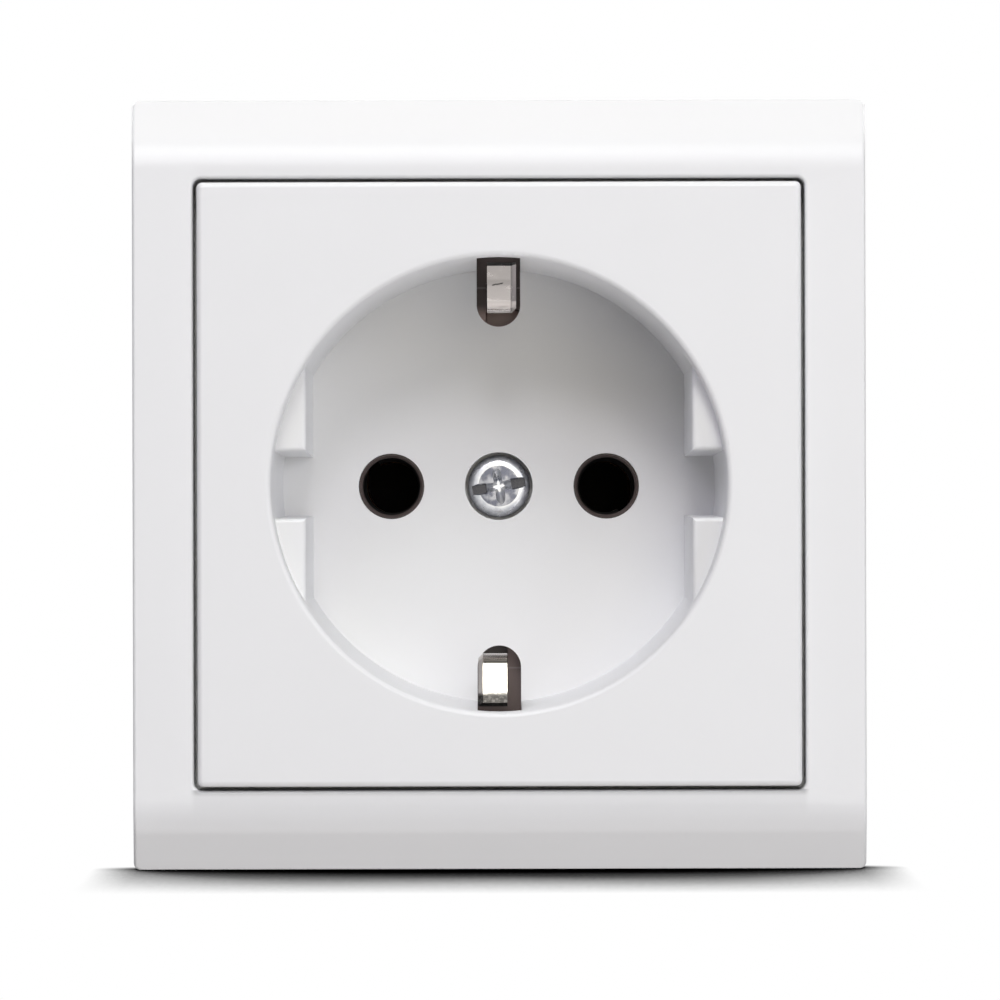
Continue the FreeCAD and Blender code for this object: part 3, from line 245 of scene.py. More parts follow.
class Finish:
    """A material with a principled surface and the pattern nodes that feed it."""

    def __init__(self, name):
        self.material = bpy.data.materials.new(name)
        self.material.use_nodes = True
        tree = self.material.node_tree
        self.surface = tree.nodes["Principled BSDF"]
        self.make = Signal(tree)
        self.place = self.make.node("ShaderNodeTexCoord", output="Object")

    def stretched(self, x, y, z):
        """The place on the object, stretched along the axes."""
        return self.make.node(
            "ShaderNodeVectorMath", {"operation": "MULTIPLY"}, {0: self.place, 1: (x, y, z)}
        )

    def noise(self, size, detail=3.0, place=None):
        """Noise whose patches are about this many millimetres across."""
        settings = {"Vector": place or self.place, "Scale": 1 / (size * MM), "Detail": detail}
        return self.make.node("ShaderNodeTexNoise", inputs=settings)

    def cells(self, size):
        """Random colours in cells of about this many millimetres."""
        settings = {"Vector": self.place, "Scale": 1 / (size * MM)}
        return self.make.node("ShaderNodeTexVoronoi", inputs=settings, output="Color")

    def along(self, axis):
        """One coordinate of the place on the object, in millimetres."""
        return self.make.node("ShaderNodeSeparateXYZ", inputs={0: self.place}, output=axis) * (1 / MM)

    def step(self, value, low, high):
        """A smooth step from 0 at one value to 1 at another."""
        return self.make.node(
            "ShaderNodeMapRange",
            {"interpolation_type": "SMOOTHSTEP"},
            {"Value": value, "From Min": low, "From Max": high},
        )

    def band(self, value, middle, edge, core):
        """1 within the core about a middle value, and 0 beyond the edge."""
        return self.step(abs(value - middle), edge, core)

    def mix(self, factor, first, second):
        """Two colours mixed by a factor."""
        return self.make.node(
            "ShaderNodeMix", {"data_type": "RGBA"}, {0: factor, 6: first, 7: second}, output=2
        )

    def bump(self, height, depth, strength, under=None):
        """A bump of so many millimetres, on top of another one where there is one."""
        sockets = {"Height": height, "Distance": depth * MM, "Strength": strength}
        if under:
            sockets["Normal"] = under
        return self.make.node("ShaderNodeBump", inputs=sockets)

    def set(self, **sockets):
        """Sets or links the surface's sockets and gives back the material."""
        for name, value in sockets.items():
            socket = self.surface.inputs[name.replace("_", " ")]
            if isinstance(value, Signal):
                self.make.tree.links.new(value.output, socket)
            else:
                socket.default_value = value
        return self.material


def new_mesh(bm, name):
    """A mesh from a bmesh, which is freed."""
    mesh = bpy.data.meshes.new(name)
    bm.to_mesh(mesh)
    bm.free()
    return mesh


def paint(material, *names):
    """Puts a material on CAD nodes, through their material slots."""
    for name in names:
        for place in frame["nodes"][name].material_slots:
            place.material = material


def skin(node, material):
    """One closed skin over a CAD node, shaded evenly across its rounded edges, in the node's place."""
    merge, crease = 0.001 * MM, math.radians(30)
    bm = bmesh.new()
    bm.from_mesh(frame["nodes"][node].data)
    bmesh.ops.remove_doubles(bm, verts=bm.verts, dist=merge)
    mesh = new_mesh(bm, f"{node}_skin")
    if "custom_normal" in mesh.attributes:
        mesh.attributes.remove(mesh.attributes["custom_normal"])
    mesh.materials.clear()
    mesh.materials.append(material)
    mesh.shade_smooth()
    mesh.set_sharp_from_angle(angle=crease)
    piece = bpy.data.objects.new(f"{node}_skin", mesh)
    bpy.context.collection.objects.link(piece)
    even = piece.modifiers.new("even_shading", "WEIGHTED_NORMAL")
    even.keep_sharp = True
    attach(piece, frame["nodes"][node]["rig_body"])
    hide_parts(node)


# Finishes

def white_plastic(looks):
    """Satin white thermoplastic with moulded grain, flow marks and a painted shadow under the plate."""
    finish = Finish("white_plastic")
    grain = finish.noise(0.12, 2.0)
    flow = finish.noise(9.0, 2.0)
    cloud = finish.noise(2.2, 4.0)
    body = finish.mix(flow, opaque(looks.white, 0.985), opaque(looks.white, 1.01))
    # Painted shadow: the frame darkened in a soft line just below the plate's lower edge.
    below = PLATE_LOW - finish.along("Z")
    under = finish.step(below, 0.0, 0.07)
    under = under * finish.step(abs(finish.along("X")), PLATE_HALF, PLATE_HALF - 0.6)
    close = finish.step(below, 0.65, 0.1)
    wide = finish.step(below, 2.65, 0.25)
    shade = finish.mix(under * (0.38 * close + 0.1 * wide), body, BLACK)
    fine = finish.bump(grain, 0.006, 0.35)
    relief = finish.bump(flow, 0.05, 0.12, fine)
    rough = looks.gloss - 0.05 + 0.06 * cloud + 0.04 * grain
    return finish.set(Base_Color=shade, Roughness=rough, Normal=relief, IOR=1.5)


def dark_moulding(looks):
    """Brown-black thermoset with pale flecks, painted shade that blackens the pin bores, painted light
    that makes the lower earth slot and the slot ends paler, and pale lines painted across the slots.
    """
    finish = Finish("dark_moulding")
    across, depth, rise = (finish.along(axis) for axis in "XYZ")
    fleck = finish.noise(0.35, 5.0)
    flow = finish.noise(5.0, 3.0)
    specks = finish.step(fleck, 0.60, 0.72)
    body = finish.mix(flow, opaque(looks.dark, 0.7), opaque(looks.dark, 1.5))
    shade = finish.mix(0.35 * specks, body, (0.10, 0.085, 0.075, 1.0))
    slots = finish.step(abs(across), SLOT_HALF, SLOT_HALF - 1.0)
    slots = slots * finish.step(depth, SLOT_BACK, SLOT_BACK - 2.0)
    # Painted light: the inside of the lower earth slot made paler than the upper one.
    upper = finish.step(rise, -1.0, 1.0)
    shade = finish.mix(slots * (1.0 - upper), shade, opaque(looks.dark, 1.7))
    # Painted light: the ends of the earth slots made much paler, most of all in the upper slot.
    lit_slot_ends = finish.step(abs(rise), 16.2, 14.8) * finish.step(abs(rise), 12.5, 13.5)
    painted_end_light = finish.mix(upper, opaque(looks.dark, 2.6), opaque(looks.dark, 8.0))
    shade = finish.mix(0.75 * slots * lit_slot_ends, shade, painted_end_light)
    # Pale lines painted across the earth slots at two heights.
    pale_lines = finish.band(rise, UPPER_PALE_LINE, 0.12, 0.04) + finish.band(rise, LOWER_PALE_LINE, 0.1, 0.04)
    shade = finish.mix(0.5 * slots * pale_lines, shade, (0.2, 0.18, 0.17, 1.0))
    # Painted shade: the pin bores darkened to black and made rougher.
    aside = abs(across) - PIN_ASIDE
    bore = finish.step(aside * aside + rise * rise, BORE_RADIUS ** 2, (BORE_RADIUS - 0.3) ** 2)
    bore = bore * finish.step(depth, BORE_FRONT, BORE_FRONT + 1.8)
    bore = bore * finish.step(depth, BORE_BACK, BORE_BACK - 0.4)
    shade = finish.mix(bore, shade, BORE_SHADE)
    relief = finish.bump(fleck, 0.02, 0.35)
    rough = 0.4 + 0.25 * flow + 0.3 * bore
    return finish.set(Base_Color=shade, Roughness=rough, Normal=relief, Specular_IOR_Level=0.3)


def zinc_plate(looks):
    """Bright zinc with a faint blue passivation, tiny pits, and the darkness that its faces ask for:
    painted shade and darker painted reflections, with some tarnish on the flat top.
    """
    finish = Finish("zinc_plate")
    blotch = finish.noise(1.1, 4.0)
    pits = finish.noise(0.12, 3.0)
    tint = finish.mix(blotch, opaque(looks.zinc, 0.9), opaque(looks.zinc, 1.05))
    blue = finish.step(finish.noise(0.8, 2.0), 0.5, 0.75)
    plated = finish.mix(0.35 * blue, tint, (0.66, 0.70, 0.80, 1.0))
    # The tarnish attribute carries painted shade and darker painted reflections, with some tarnish on
    # the flat top.
    tarnish = finish.make.node("ShaderNodeAttribute", {"attribute_name": TARNISH_AND_SHADE}, output="Fac")
    patch = finish.step(finish.noise(0.8, 3.0), 0.4, 0.6)
    shaded_zinc = finish.mix(tarnish * (0.92 + 0.26 * patch), plated, (0.07, 0.075, 0.105, 1.0))
    # Painted shade: the screw's slot floors nearly black.
    slot_floor_shade = finish.step(tarnish, FLAT_SHADE + 0.05, SLOT_SHADE - 0.05)
    shade = finish.mix(slot_floor_shade, shaded_zinc, (0.05, 0.05, 0.056, 1.0))
    relief = finish.bump(pits, 0.008, 0.5)
    return finish.set(Base_Color=shade, Metallic=1.0, Roughness=0.18 + 0.2 * blotch, Normal=relief)


def nickel_plate(looks):
    """Nickel on a stamped strip: rolling lines, rubbed patches, a nick, painted reflections as darker
    and lighter bands, bends, flanks and a dark lower tip, and feet painted dark as shade.
    """
    finish = Finish("nickel_plate")
    across, depth, rise = (finish.along(axis) for axis in "XYZ")

    def nickel(scale):
        return opaque(looks.nickel, scale)

    lines = finish.noise(0.1, 3.0, finish.stretched(1.0, 0.04, 0.04))
    scuff = finish.noise(0.5, 4.0, finish.stretched(0.35, 1.0, 1.0))
    mottle = finish.noise(0.25, 5.0)
    rubbed = finish.step(scuff, 0.55, 0.75)
    tone = finish.mix(lines, nickel(0.92), nickel(1.06))
    tone = finish.mix(0.3 * rubbed, tone, nickel(0.6))

    # Painted reflection: the lower tongue's bend and the strip above it darker, and the lower tongue's
    # face darker near the bend and lighter further out.
    bend = finish.step(rise, LOWER_BEND - 0.7, LOWER_BEND - 0.2) * finish.step(rise, 10.0, 5.0)
    tone = finish.mix(bend, tone, nickel(0.62))
    lit = finish.mix(finish.step(rise, LOWER_BEND - 0.2, LOWER_BEND - 0.9), nickel(0.1), nickel(0.4))
    tone = finish.mix(finish.step(rise, LOWER_BEND, LOWER_BEND - 0.12), tone, lit)

    # Painted reflection: the upper tongue darker, more so towards its tip, with a darker band across it
    # and a darker bend.
    upper = finish.mix(finish.step(rise, 15.4, 18.6), nickel(0.74), nickel(0.58))
    upper = finish.mix(0.35 * finish.band(rise, DARK_BAND_HEIGHT, 0.4, 0.1), upper, nickel(0.3))
    above = finish.step(rise, UPPER_BEND, UPPER_BEND + 0.2)
    shade = finish.mix(above, tone, nickel(0.64))
    shade = finish.mix(finish.step(rise, UPPER_BEND + 0.65, UPPER_BEND + 0.8), shade, upper)
    band = above * finish.step(rise, UPPER_BEND + 0.9, UPPER_BEND + 0.6)

    # Painted reflection: a lighter left flank on the lower tongue, and on the upper tongue a darker
    # right edge with a lighter strip beyond it.
    left = finish.step(across, FACE_LEFT, FACE_LEFT - 0.1) * finish.step(rise, -14.0, -14.5)
    shade = finish.mix(left, shade, nickel(0.9))
    right = finish.step(across, FACE_RIGHT, FACE_RIGHT + 0.1) * finish.step(rise, 14.0, 14.5)
    shade = finish.mix(right, shade, nickel(0.45))
    flank = right * finish.step(across, FACE_RIGHT + 0.15, FACE_RIGHT + 0.25)
    shade = finish.mix(flank, shade, nickel(1.1))

    wander = rise + 0.9 * scuff - 0.25 * across
    nick = finish.band(across, -0.1, 0.55, 0.35) * finish.band(wander, NICK_HEIGHT, 0.12, 0.03)
    # Painted reflection: the lower tip darkened in a mottled band; it is also made rougher.
    dull = finish.step(rise + 0.5 * mottle, DARK_TIP_HEIGHT, DARK_TIP_HEIGHT - 0.48)
    dull = dull * (0.84 + 0.16 * finish.step(mottle, 0.35, 0.55))
    shade = finish.mix(nick + dull, shade, nickel(0.05))

    # Painted shade: the strap's feet coloured as the dark moulding and not metal, the upper foot much
    # paler as painted light.
    foot_in_shade = finish.step(abs(across), 2.4, 2.0) * finish.step(depth, 8.0, 8.6)
    foot_in_shade = foot_in_shade * finish.step(abs(rise), 12.0, 12.4)
    painted_foot_shade = finish.mix(finish.step(rise, -1.0, 1.0), opaque(looks.dark), opaque(looks.dark, 7.0))
    shade = finish.mix(foot_in_shade, shade, painted_foot_shade)
    relief = finish.bump(lines, 0.004, 0.5)
    rough = 0.12 + 0.2 * rubbed + 0.06 * lines + 0.25 * dull + 0.3 * foot_in_shade + 0.4 * band
    return finish.set(Base_Color=shade, Metallic=1.0 - foot_in_shade, Roughness=rough, Normal=relief)


def galvanised_steel(looks):
    """Hot-dip zinc with its spangle of crystals and dull handling marks."""
    finish = Finish("galvanised_steel")
    crystals = finish.make.node("ShaderNodeSeparateColor", inputs={0: finish.cells(1.8)}, output="Red")
    dull = finish.noise(3.5, 4.0)
    tone = finish.mix(crystals, opaque(looks.galvanised, 0.78), opaque(looks.galvanised, 1.2))
    shade = finish.mix(0.35 * dull, tone, opaque(looks.galvanised, 0.62))
    relief = finish.bump(finish.noise(0.25, 3.0), 0.008, 0.4)
    rough = 0.26 + 0.16 * crystals + 0.12 * dull
    return finish.set(Base_Color=shade, Metallic=1.0, Roughness=rough, Normal=relief)


def drawn_metal(name, shade, tarnish, spread):
    """Rolled strip metal with drawing lines along the depth, a patchy tarnish and painted black shade at
    the front ends.
    """
    finish = Finish(name)
    lines = finish.noise(0.12, 3.0, finish.stretched(1.0, 0.05, 1.0))
    patch = finish.step(finish.noise(2.4, 4.0), 0.45, 0.75)
    tone = finish.mix(lines, opaque(shade, 0.86), opaque(shade, 1.1))
    worn = finish.mix(spread * patch, tone, tarnish)
    # Painted shade: the front ends black, rougher and not metal.
    painted_front_shade = finish.step(finish.along("Y"), CONTACT_FRONT, CONTACT_FRONT - 2.5)
    finished = finish.mix(painted_front_shade, worn, (0.003, 0.003, 0.003, 1.0))
    relief = finish.bump(lines, 0.005, 0.45)
    rough = 0.2 + 0.18 * patch + 0.08 * lines + 0.4 * painted_front_shade
    return finish.set(Base_Color=finished, Metallic=1.0 - painted_front_shade, Roughness=rough, Normal=relief)


# Screws

def lathe(bm, profile, sides):
    """A closed turned form about Z from (radius, height) points that start and end on the axis."""
    rings = []
    for radius, height in profile:
        if radius == 0:
            rings.append([bm.verts.new((0, 0, height))] * sides)
            continue
        ring = []
        for index in range(sides):
            swing = math.tau * index / sides
            ring.append(bm.verts.new((radius * math.cos(swing), radius * math.sin(swing), height)))
        rings.append(ring)
    for lower, upper in zip(rings, rings[1:]):
        for index in range(sides):
            after = (index + 1) % sides
            corners = (lower[index], lower[after], upper[after], upper[index])
            bm.faces.new(dict.fromkeys(corners))
    bmesh.ops.recalc_face_normals(bm, faces=bm.faces)


def head_profile(radius, height, steps=10):
    """The section of a pan head: flat top, crown, flank and under side."""
    flat = FLAT * radius
    shoulder = 0.45 * height
    edge = 0.06 * radius
    crown = [(0.0, height)]
    for index in range(steps + 1):
        swing = 0.5 * math.pi * index / steps
        across = flat + (radius - flat) * math.sin(swing) ** 0.9
        crown.append((across, shoulder + (height - shoulder) * math.cos(swing) ** 0.8))
    return crown + [(radius, edge), (radius - edge, 0.0), (0.0, 0.0)]


def thread_mesh(bm, radius, bottom, pitch, sides=36, rows=6):
    """A threaded shank below the head, with a cone at its tip."""
    depth = 0.62 * pitch
    run_out = 1.2 * radius
    tip = 0.55
    top = 0.1 * MM
    steps = int(-bottom / pitch * rows)
    rings = []
    for level in range(steps + 1):
        height = top + (bottom - top) * level / steps
        taper = min(1.0, (height - bottom) / run_out + tip)
        start = min(1.0, max(0.0, -height / pitch - 0.6))
        ring = []
        for index in range(sides):
            swing = math.tau * index / sides
            wave = abs((height / pitch + index / sides) % 1.0 - 0.5) * 2
            groove = depth * start * min(1.0, max(0.0, 1.25 * wave - 0.1))
            reach = (radius - groove) * taper
            ring.append(bm.verts.new((reach * math.cos(swing), reach * math.sin(swing), height)))
        rings.append(ring)
    for upper, lower in zip(rings, rings[1:]):
        for index in range(sides):
            after = (index + 1) % sides
            bm.faces.new((upper[index], lower[index], lower[after], upper[after]))
    bm.faces.new(rings[0])
    bm.faces.new(list(reversed(rings[-1])))


def prism(outline_low, outline_high, low, high):
    """A mesh between two outlines with as many points, one above the other."""
    bm = bmesh.new()
    bottom = [bm.verts.new((x, y, low)) for x, y in outline_low]
    top = [bm.verts.new((x, y, high)) for x, y in outline_high]
    count = len(bottom)
    for index in range(count):
        after = (index + 1) % count
        bm.faces.new((bottom[index], bottom[after], top[after], top[index]))
    bm.faces.new(list(reversed(bottom)))
    bm.faces.new(top)
    bmesh.ops.recalc_face_normals(bm, faces=bm.faces)
    return new_mesh(bm, "cutter")


def lobes(reach, scale, points=48):
    """The outline of a recess with four rounded arms."""
    outline = []
    for index in range(points):
        swing = math.tau * index / points
        radius = scale * reach * (0.66 + 0.34 * math.cos(4 * swing))
        outline.append((radius * math.cos(swing), radius * math.sin(swing)))
    return outline


def box_outline(near, far, half):
    """A rectangle that runs along X."""
    return [(near, -half), (far, -half), (far, half), (near, half)]


def cut(mesh, *cutters):
    """A copy of a mesh with other meshes cut out of it."""
    solid = bpy.data.objects.new("blank", mesh)
    bpy.context.collection.objects.link(solid)
    tools = []
    for cutter in cutters:
        tool = bpy.data.objects.new("cutter", cutter)
        bpy.context.collection.objects.link(tool)
        tools.append(tool)
        modifier = solid.modifiers.new("cut", "BOOLEAN")
        modifier.operation = "DIFFERENCE"
        modifier.solver = "EXACT"
        modifier.object = tool
    view = bpy.context.evaluated_depsgraph_get()
    result = bpy.data.meshes.new_from_object(solid.evaluated_get(view))
    for spent in [solid, *tools]:
        bpy.data.objects.remove(spent)
    return result


# Screws by their CAD nodes: way of the head, head height and shank in millimetres, slotted or not
SCREWS = {
    "centre_screw": ((0, -1, 0), 2.0, 3.0, True),
    "claw_screw_left": ((0, -1, 0), 1.8, 2.9, True),
    "claw_screw_right": ((0, -1, 0), 1.8, 2.9, True),
    "rear_cover_screw_top": ((0, 1, 0), 1.3, 2.2, False),
    "rear_cover_screw_bottom": ((0, 1, 0), 1.3, 2.2, False),
    "live_terminal_screw": ((-1, 0, 0), 2.2, 3.0, True),
    "neutral_terminal_screw": ((1, 0, 0), 2.2, 3.0, True),
    "earth_terminal_screw": ((1, 0, 0), 2.2, 3.0, True),
}

# Parts of a screw's head as shares of its radius
FLAT = 0.66
ARM = 0.62
SLOT_NEAR, SLOT_FAR = 0.4, 0.86
RIM = 0.86


def recess_cutters(head, height, share, sizes, slotted):
    """Solids that cut a cross recess, and the two ends of a slot, out of a head."""
    lip = 0.2 * MM
    top = height + lip
    arm = ARM * head
    cutters = [prism(lobes(arm, 0.3), lobes(arm, 1.1), height - sizes.cross_depth * share, top)]
    if slotted:
        half = sizes.slot_width / 2
        deep = height - sizes.slot_depth * share
        bevel = height - 0.1 * MM
        for side in (-1, 1):
            near, far = SLOT_NEAR * head * side, SLOT_FAR * head * side
            slot = box_outline(near, far, half)
            wide = box_outline(near, far + lip * side, half + 1.5 * lip)
            cutters += [prism(slot, slot, deep, top), prism(slot, wide, bevel, top)]
    return cutters


def shade_faces(bm, head, height):
    """Gives each face of a screw's head its share of painted darkness, which stands for shade and darker
    reflections.
    """
    head_shade = bm.faces.layers.float.new(TARNISH_AND_SHADE)
    for face in bm.faces:
        centre = face.calc_center_median()
        out, up = centre.xy.length / head, centre.z / height
        if out < FLAT + 0.01 and up > 0.97:
            face[head_shade] = FLAT_SHADE
        elif face.normal.z > 0.9 and out > SLOT_NEAR and up < 0.8:
            face[head_shade] = SLOT_SHADE
        elif out < ARM and up > 0.2:
            face[head_shade] = RECESS_SHADE
        else:
            # The crown darker towards its rim, a painted darker reflection.
            face[head_shade] = CROWN_SHADE + max(0.0, 2.0 * (out - RIM))


def make_screw(node, sizes, material):
    """A pan-head screw with its recess and thread, in the place of a CAD node."""
    facing, head_height, shank, slotted = SCREWS[node]
    low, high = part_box(node)
    way = Vector(facing)
    middle = (low + high) / 2
    span = high - low
    reach = abs(span.dot(way))
    head = min(part for part in (span - way * span.dot(way)) if part > 0) / 2
    height = head_height * MM
    full_depth_from = 1.9
    share = min(1.0, head_height / full_depth_from)
    bm = bmesh.new()
    lathe(bm, head_profile(head, height), 64)
    shaped = cut(new_mesh(bm, node), *recess_cutters(head, height, share, sizes, slotted))
    bm = bmesh.new()
    bm.from_mesh(shaped)
    shade_faces(bm, head, height)
    pitch = sizes.fine_pitch if slotted else sizes.coarse_pitch
    thread_mesh(bm, shank / 2 * MM, height - reach, pitch)
    mesh = new_mesh(bm, node)
    turned = Matrix.Rotation(sizes.turn, 4, "Z") if node == "centre_screw" else Matrix.Identity(4)
    stand = way.to_track_quat("Z", "Y").to_matrix().to_4x4()
    seat = middle + way * (reach / 2 - height)
    mesh.transform(Matrix.Translation(seat) @ stand @ turned)
    mesh.materials.append(material)
    mesh.shade_smooth()
    mesh.set_sharp_from_angle(angle=math.radians(32))
    piece = bpy.data.objects.new(f"{node}_turned", mesh)
    bpy.context.collection.objects.link(piece)
    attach(piece, BODY)
    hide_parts(node)


# Studio

def seen_directly(make):
    """1 for rays from the camera, a mirror or glass, and 0 for soft light."""
    path = make.node("ShaderNodeLightPath", output="Is Camera Ray")
    rays = path.output.node.outputs
    glossy = Signal(make.tree, rays["Is Glossy Ray"])
    through = Signal(make.tree, rays["Is Transmission Ray"])
    return path + glossy + through


# Floor: its reach, and where the shadow before the frame fades, in metres
FLOOR_REACH = 3.0
SHADOW_REACH = 0.034
SHADOW_BACK, SHADOW_FRONT = -0.001, -0.005
SHADOW_END, SHADOW_FULL = 0.0356, 0.031
SHADOW_TAPER = 411


def floor_material(studio):
    """White where it is seen, but for the frame's shadow, and dim as a source of soft light."""
    material = bpy.data.materials.new("pale_floor")
    material.use_nodes = True
    tree = material.node_tree
    tree.nodes.remove(tree.nodes["Principled BSDF"])
    make = Signal(tree)
    place = make.node("ShaderNodeTexCoord", output="Object")
    across = make.node("ShaderNodeSeparateXYZ", inputs={0: place}, output="X")
    depth = make.node("ShaderNodeSeparateXYZ", inputs={0: place}, output="Y")
    clear = make.node(
        "ShaderNodeAmbientOcclusion", {"samples": 8}, {"Distance": SHADOW_REACH}, output="AO"
    )
    before = ramp(depth, SHADOW_BACK, SHADOW_FRONT)
    beside = ramp(abs(across), SHADOW_END, SHADOW_FULL)
    taper = 1.0 - across * across * SHADOW_TAPER
    lit = ramp(1.0 - (1.0 - clear) * before * beside * taper, 0.495, 0.99)
    lit = lit * lit
    black = make.node("ShaderNodeEmission", inputs={"Color": BLACK})
    white = make.node("ShaderNodeEmission", inputs={"Color": WHITE})
    shown = make.node("ShaderNodeMixShader", inputs={0: lit * lit, 1: black, 2: white})
    soft = make.node("ShaderNodeEmission", inputs={"Color": opaque([studio.glow] * 3)})
    shader = make.node("ShaderNodeMixShader", inputs={0: seen_directly(make), 1: soft, 2: shown})
    tree.links.new(shader.output, tree.nodes["Material Output"].inputs["Surface"])
    return material


def make_floor(studio):
    """A white floor under the socket, with the shadow before the frame."""
    bm = bmesh.new()
    bmesh.ops.create_grid(bm, x_segments=12, y_segments=12, size=FLOOR_REACH)
    bmesh.ops.translate(bm, verts=bm.verts, vec=(0, 0, CAD_BOX[0][2]))
    floor = bpy.data.objects.new("floor", new_mesh(bm, "floor"))
    bpy.context.collection.objects.link(floor)
    floor.data.materials.append(floor_material(studio))
    return floor


def add_lamp(name, across, up, size, power, tint):
    """A square lamp a metre away that faces the socket, from so many degrees to the right and up."""
    data = bpy.data.lights.new(name, "AREA")
    data.size = size
    data.energy = power
    data.color = tint
    lamp = bpy.data.objects.new(name, data)
    side, height = math.radians(across), math.radians(up)
    lamp.location = (
        math.sin(side) * math.cos(height),
        -math.cos(side) * math.cos(height),
        math.sin(height),
    )
    lamp.rotation_euler = lamp.location.to_track_quat("Z", "Y").to_euler()
    bpy.context.collection.objects.link(lamp)
    return lamp


# Each lamp: the way to it, in degrees to the right and up, its width in metres and its tint
LAMPS = {
    "upper": (-5, 50, 0.22, (0.96, 1.0, 0.87)),
    "fore": (0, 35, 0.22, (0.99, 0.97, 1.0)),
    "upper_left": (-35, 42, 0.5, (0.85, 0.84, 1.0)),
    "overhead": (0, 86, 0.5, (1.0, 0.98, 0.85)),
    "front": (12, 8, 0.5, (1.0, 0.94, 0.80)),
    "right": (48, 18, 0.5, (0.87, 0.90, 1.0)),
    "below": (0, -75, 0.5, (1.0, 0.98, 0.99)),
    "below_right": (45, -30, 0.5, (1.0, 1.0, 0.99)),
    "rear_left": (-145, 30, 0.5, (1.0, 1.0, 1.0)),
    "rear_right": (145, 30, 0.5, (1.0, 1.0, 1.0)),
}


def make_lamps(studio, floor):
    """Soft lamps that the floor neither takes nor stops."""
    apart = bpy.data.collections.new("floor_left_out")
    apart.objects.link(floor)
    apart.collection_objects[0].light_linking.link_state = "EXCLUDE"
    for name, (across, up, size, tint) in LAMPS.items():
        lamp = add_lamp(f"{name}_lamp", across, up, size, getattr(studio, name), tint)
        lamp.light_linking.receiver_collection = apart
        lamp.light_linking.blocker_collection = apart


def make_surround(scene, studio):
    """A surround that shows white and gives only a little light."""
    world = bpy.data.worlds.new("surround")
    world.use_nodes = True
    tree = world.node_tree
    make = Signal(tree)
    warm = (1.0, 0.98, 0.96, 1.0)
    soft = make.node("ShaderNodeBackground", inputs={"Color": warm, "Strength": studio.air})
    white = make.node("ShaderNodeBackground", inputs={"Color": WHITE, "Strength": 1.0})
    shader = make.node("ShaderNodeMixShader", inputs={0: seen_directly(make), 1: soft, 2: white})
    tree.links.new(shader.output, tree.nodes["World Output"].inputs["Surface"])
    scene.world = world


def make_camera(scene, studio):
    """A level camera in front of the socket, shifted so that upright edges stay upright."""
    data = bpy.data.cameras.new("camera")
    data.lens = studio.lens
    data.sensor_width = 36
    magnified = data.lens / data.sensor_width / studio.distance
    data.shift_x = (studio.aim_x - studio.aside) * magnified
    data.shift_y = (studio.aim_z - studio.height) * magnified
    camera = bpy.data.objects.new("camera", data)
    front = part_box("centre_plate")[0].y
    place = Matrix.Translation((studio.aside, front - studio.distance, studio.height))
    level = Matrix.Rotation(math.radians(90), 4, "X")
    camera.matrix_world = place @ level @ Matrix.Rotation(-studio.roll, 4, "Z")
    bpy.context.collection.objects.link(camera)
    scene.camera = camera


# Operators

class SOCKET_OT_white_mouldings(bpy.types.Operator):
    """Finish the cover frame and the centre plate"""

    bl_idname = "socket.white_mouldings"
    bl_label = "White mouldings"

    def execute(self, context):
        material = white_plastic(context.scene.socket_finishes)
        for node in ("cover_frame", "centre_plate"):
            skin(node, material)
        return {"FINISHED"}


class SOCKET_OT_dark_mouldings(bpy.types.Operator):
    """Finish the contact base and its rear cover"""

    bl_idname = "socket.dark_mouldings"
    bl_label = "Dark mouldings"

    def execute(self, context):
        material = dark_moulding(context.scene.socket_finishes)
        for node in ("contact_base", "rear_cover"):
            skin(node, material)
        return {"FINISHED"}


class SOCKET_OT_earth_strap(bpy.types.Operator):
    """Finish the earth strap with its two tongues"""

    bl_idname = "socket.earth_strap"
    bl_label = "Earth strap"

    def execute(self, context):
        skin("earth_strap", nickel_plate(context.scene.socket_finishes))
        return {"FINISHED"}


class SOCKET_OT_sheet_steel(bpy.types.Operator):
    """Finish the support ring and the spreading claws"""

    bl_idname = "socket.sheet_steel"
    bl_label = "Ring and claws"

    def execute(self, context):
        material = galvanised_steel(context.scene.socket_finishes)
        for node in ("support_ring", "claw_left", "claw_right"):
            skin(node, material)
        return {"FINISHED"}


class SOCKET_OT_contacts(bpy.types.Operator):
    """Finish the pin contacts, their springs and the wire clamps"""

    bl_idname = "socket.contacts"
    bl_label = "Contacts and clamps"

    def execute(self, context):
        looks = context.scene.socket_finishes
        bronze = drawn_metal("bronze", looks.bronze, (0.28, 0.13, 0.06, 1.0), 0.55)
        spring = drawn_metal("spring_steel", looks.spring, (0.12, 0.11, 0.16, 1.0), 0.6)
        brass = drawn_metal("brass", looks.brass, (0.36, 0.22, 0.08, 1.0), 0.45)
        paint(bronze, "live_contact", "neutral_contact")
        paint(spring, "live_contact_spring", "neutral_contact_spring")
        paint(brass, "live_clamp", "neutral_clamp", "earth_clamp")
        return {"FINISHED"}


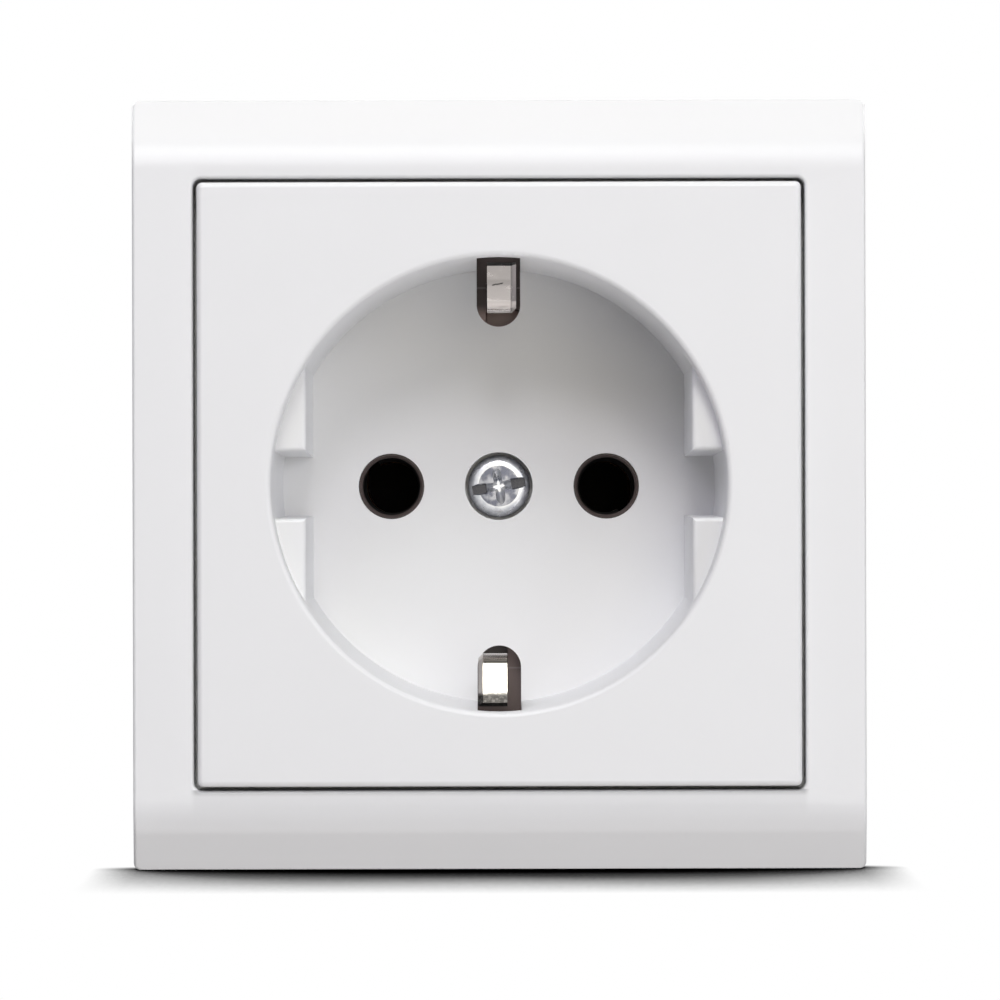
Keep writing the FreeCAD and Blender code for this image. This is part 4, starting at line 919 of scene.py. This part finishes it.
class SOCKET_OT_screws(bpy.types.Operator):
    """Make the eight screws, with their threads and driver recesses"""

    bl_idname = "socket.screws"
    bl_label = "Screws"

    def execute(self, context):
        material = zinc_plate(context.scene.socket_finishes)
        for node in SCREWS:
            make_screw(node, context.scene.socket_screws, material)
        return {"FINISHED"}


class SOCKET_OT_studio(bpy.types.Operator):
    """Set up the floor, the lamps, the white surround and the camera"""

    bl_idname = "socket.studio"
    bl_label = "Studio"

    def execute(self, context):
        studio = context.scene.socket_studio
        floor = make_floor(studio)
        make_lamps(studio, floor)
        make_surround(context.scene, studio)
        make_camera(context.scene, studio)
        context.scene.view_settings.view_transform = "Standard"
        return {"FINISHED"}


# Panel and registration

OPERATORS = (
    SOCKET_OT_white_mouldings,
    SOCKET_OT_dark_mouldings,
    SOCKET_OT_earth_strap,
    SOCKET_OT_sheet_steel,
    SOCKET_OT_contacts,
    SOCKET_OT_screws,
    SOCKET_OT_studio,
)
GROUPS = {
    "socket_finishes": SocketFinishes,
    "socket_screws": SocketScrews,
    "socket_studio": SocketStudio,
}


class SOCKET_PT_build(bpy.types.Panel):
    """Builds the wall socket's looks piece by piece"""

    bl_idname = "SOCKET_PT_build"
    bl_label = "Wall socket"
    bl_space_type = "VIEW_3D"
    bl_region_type = "UI"
    bl_category = "Wall socket"

    def draw(self, context):
        for name, group in GROUPS.items():
            box = self.layout.box()
            for entry in group.__annotations__:
                box.prop(getattr(context.scene, name), entry)
        for operator in OPERATORS:
            self.layout.operator(operator.bl_idname)


CLASSES = (*GROUPS.values(), *OPERATORS, SOCKET_PT_build)


def register():
    for item in CLASSES:
        bpy.utils.register_class(item)
    for name, group in GROUPS.items():
        setattr(bpy.types.Scene, name, PointerProperty(type=group))


def unregister():
    for name in GROUPS:
        delattr(bpy.types.Scene, name)
    for item in reversed(CLASSES):
        bpy.utils.unregister_class(item)


def main():
    """Builds every piece and the studio."""
    register()
    bpy.ops.socket.white_mouldings()
    bpy.ops.socket.dark_mouldings()
    bpy.ops.socket.earth_strap()
    bpy.ops.socket.sheet_steel()
    bpy.ops.socket.contacts()
    bpy.ops.socket.screws()
    bpy.ops.socket.studio()


if __name__ == "__main__":
    main()
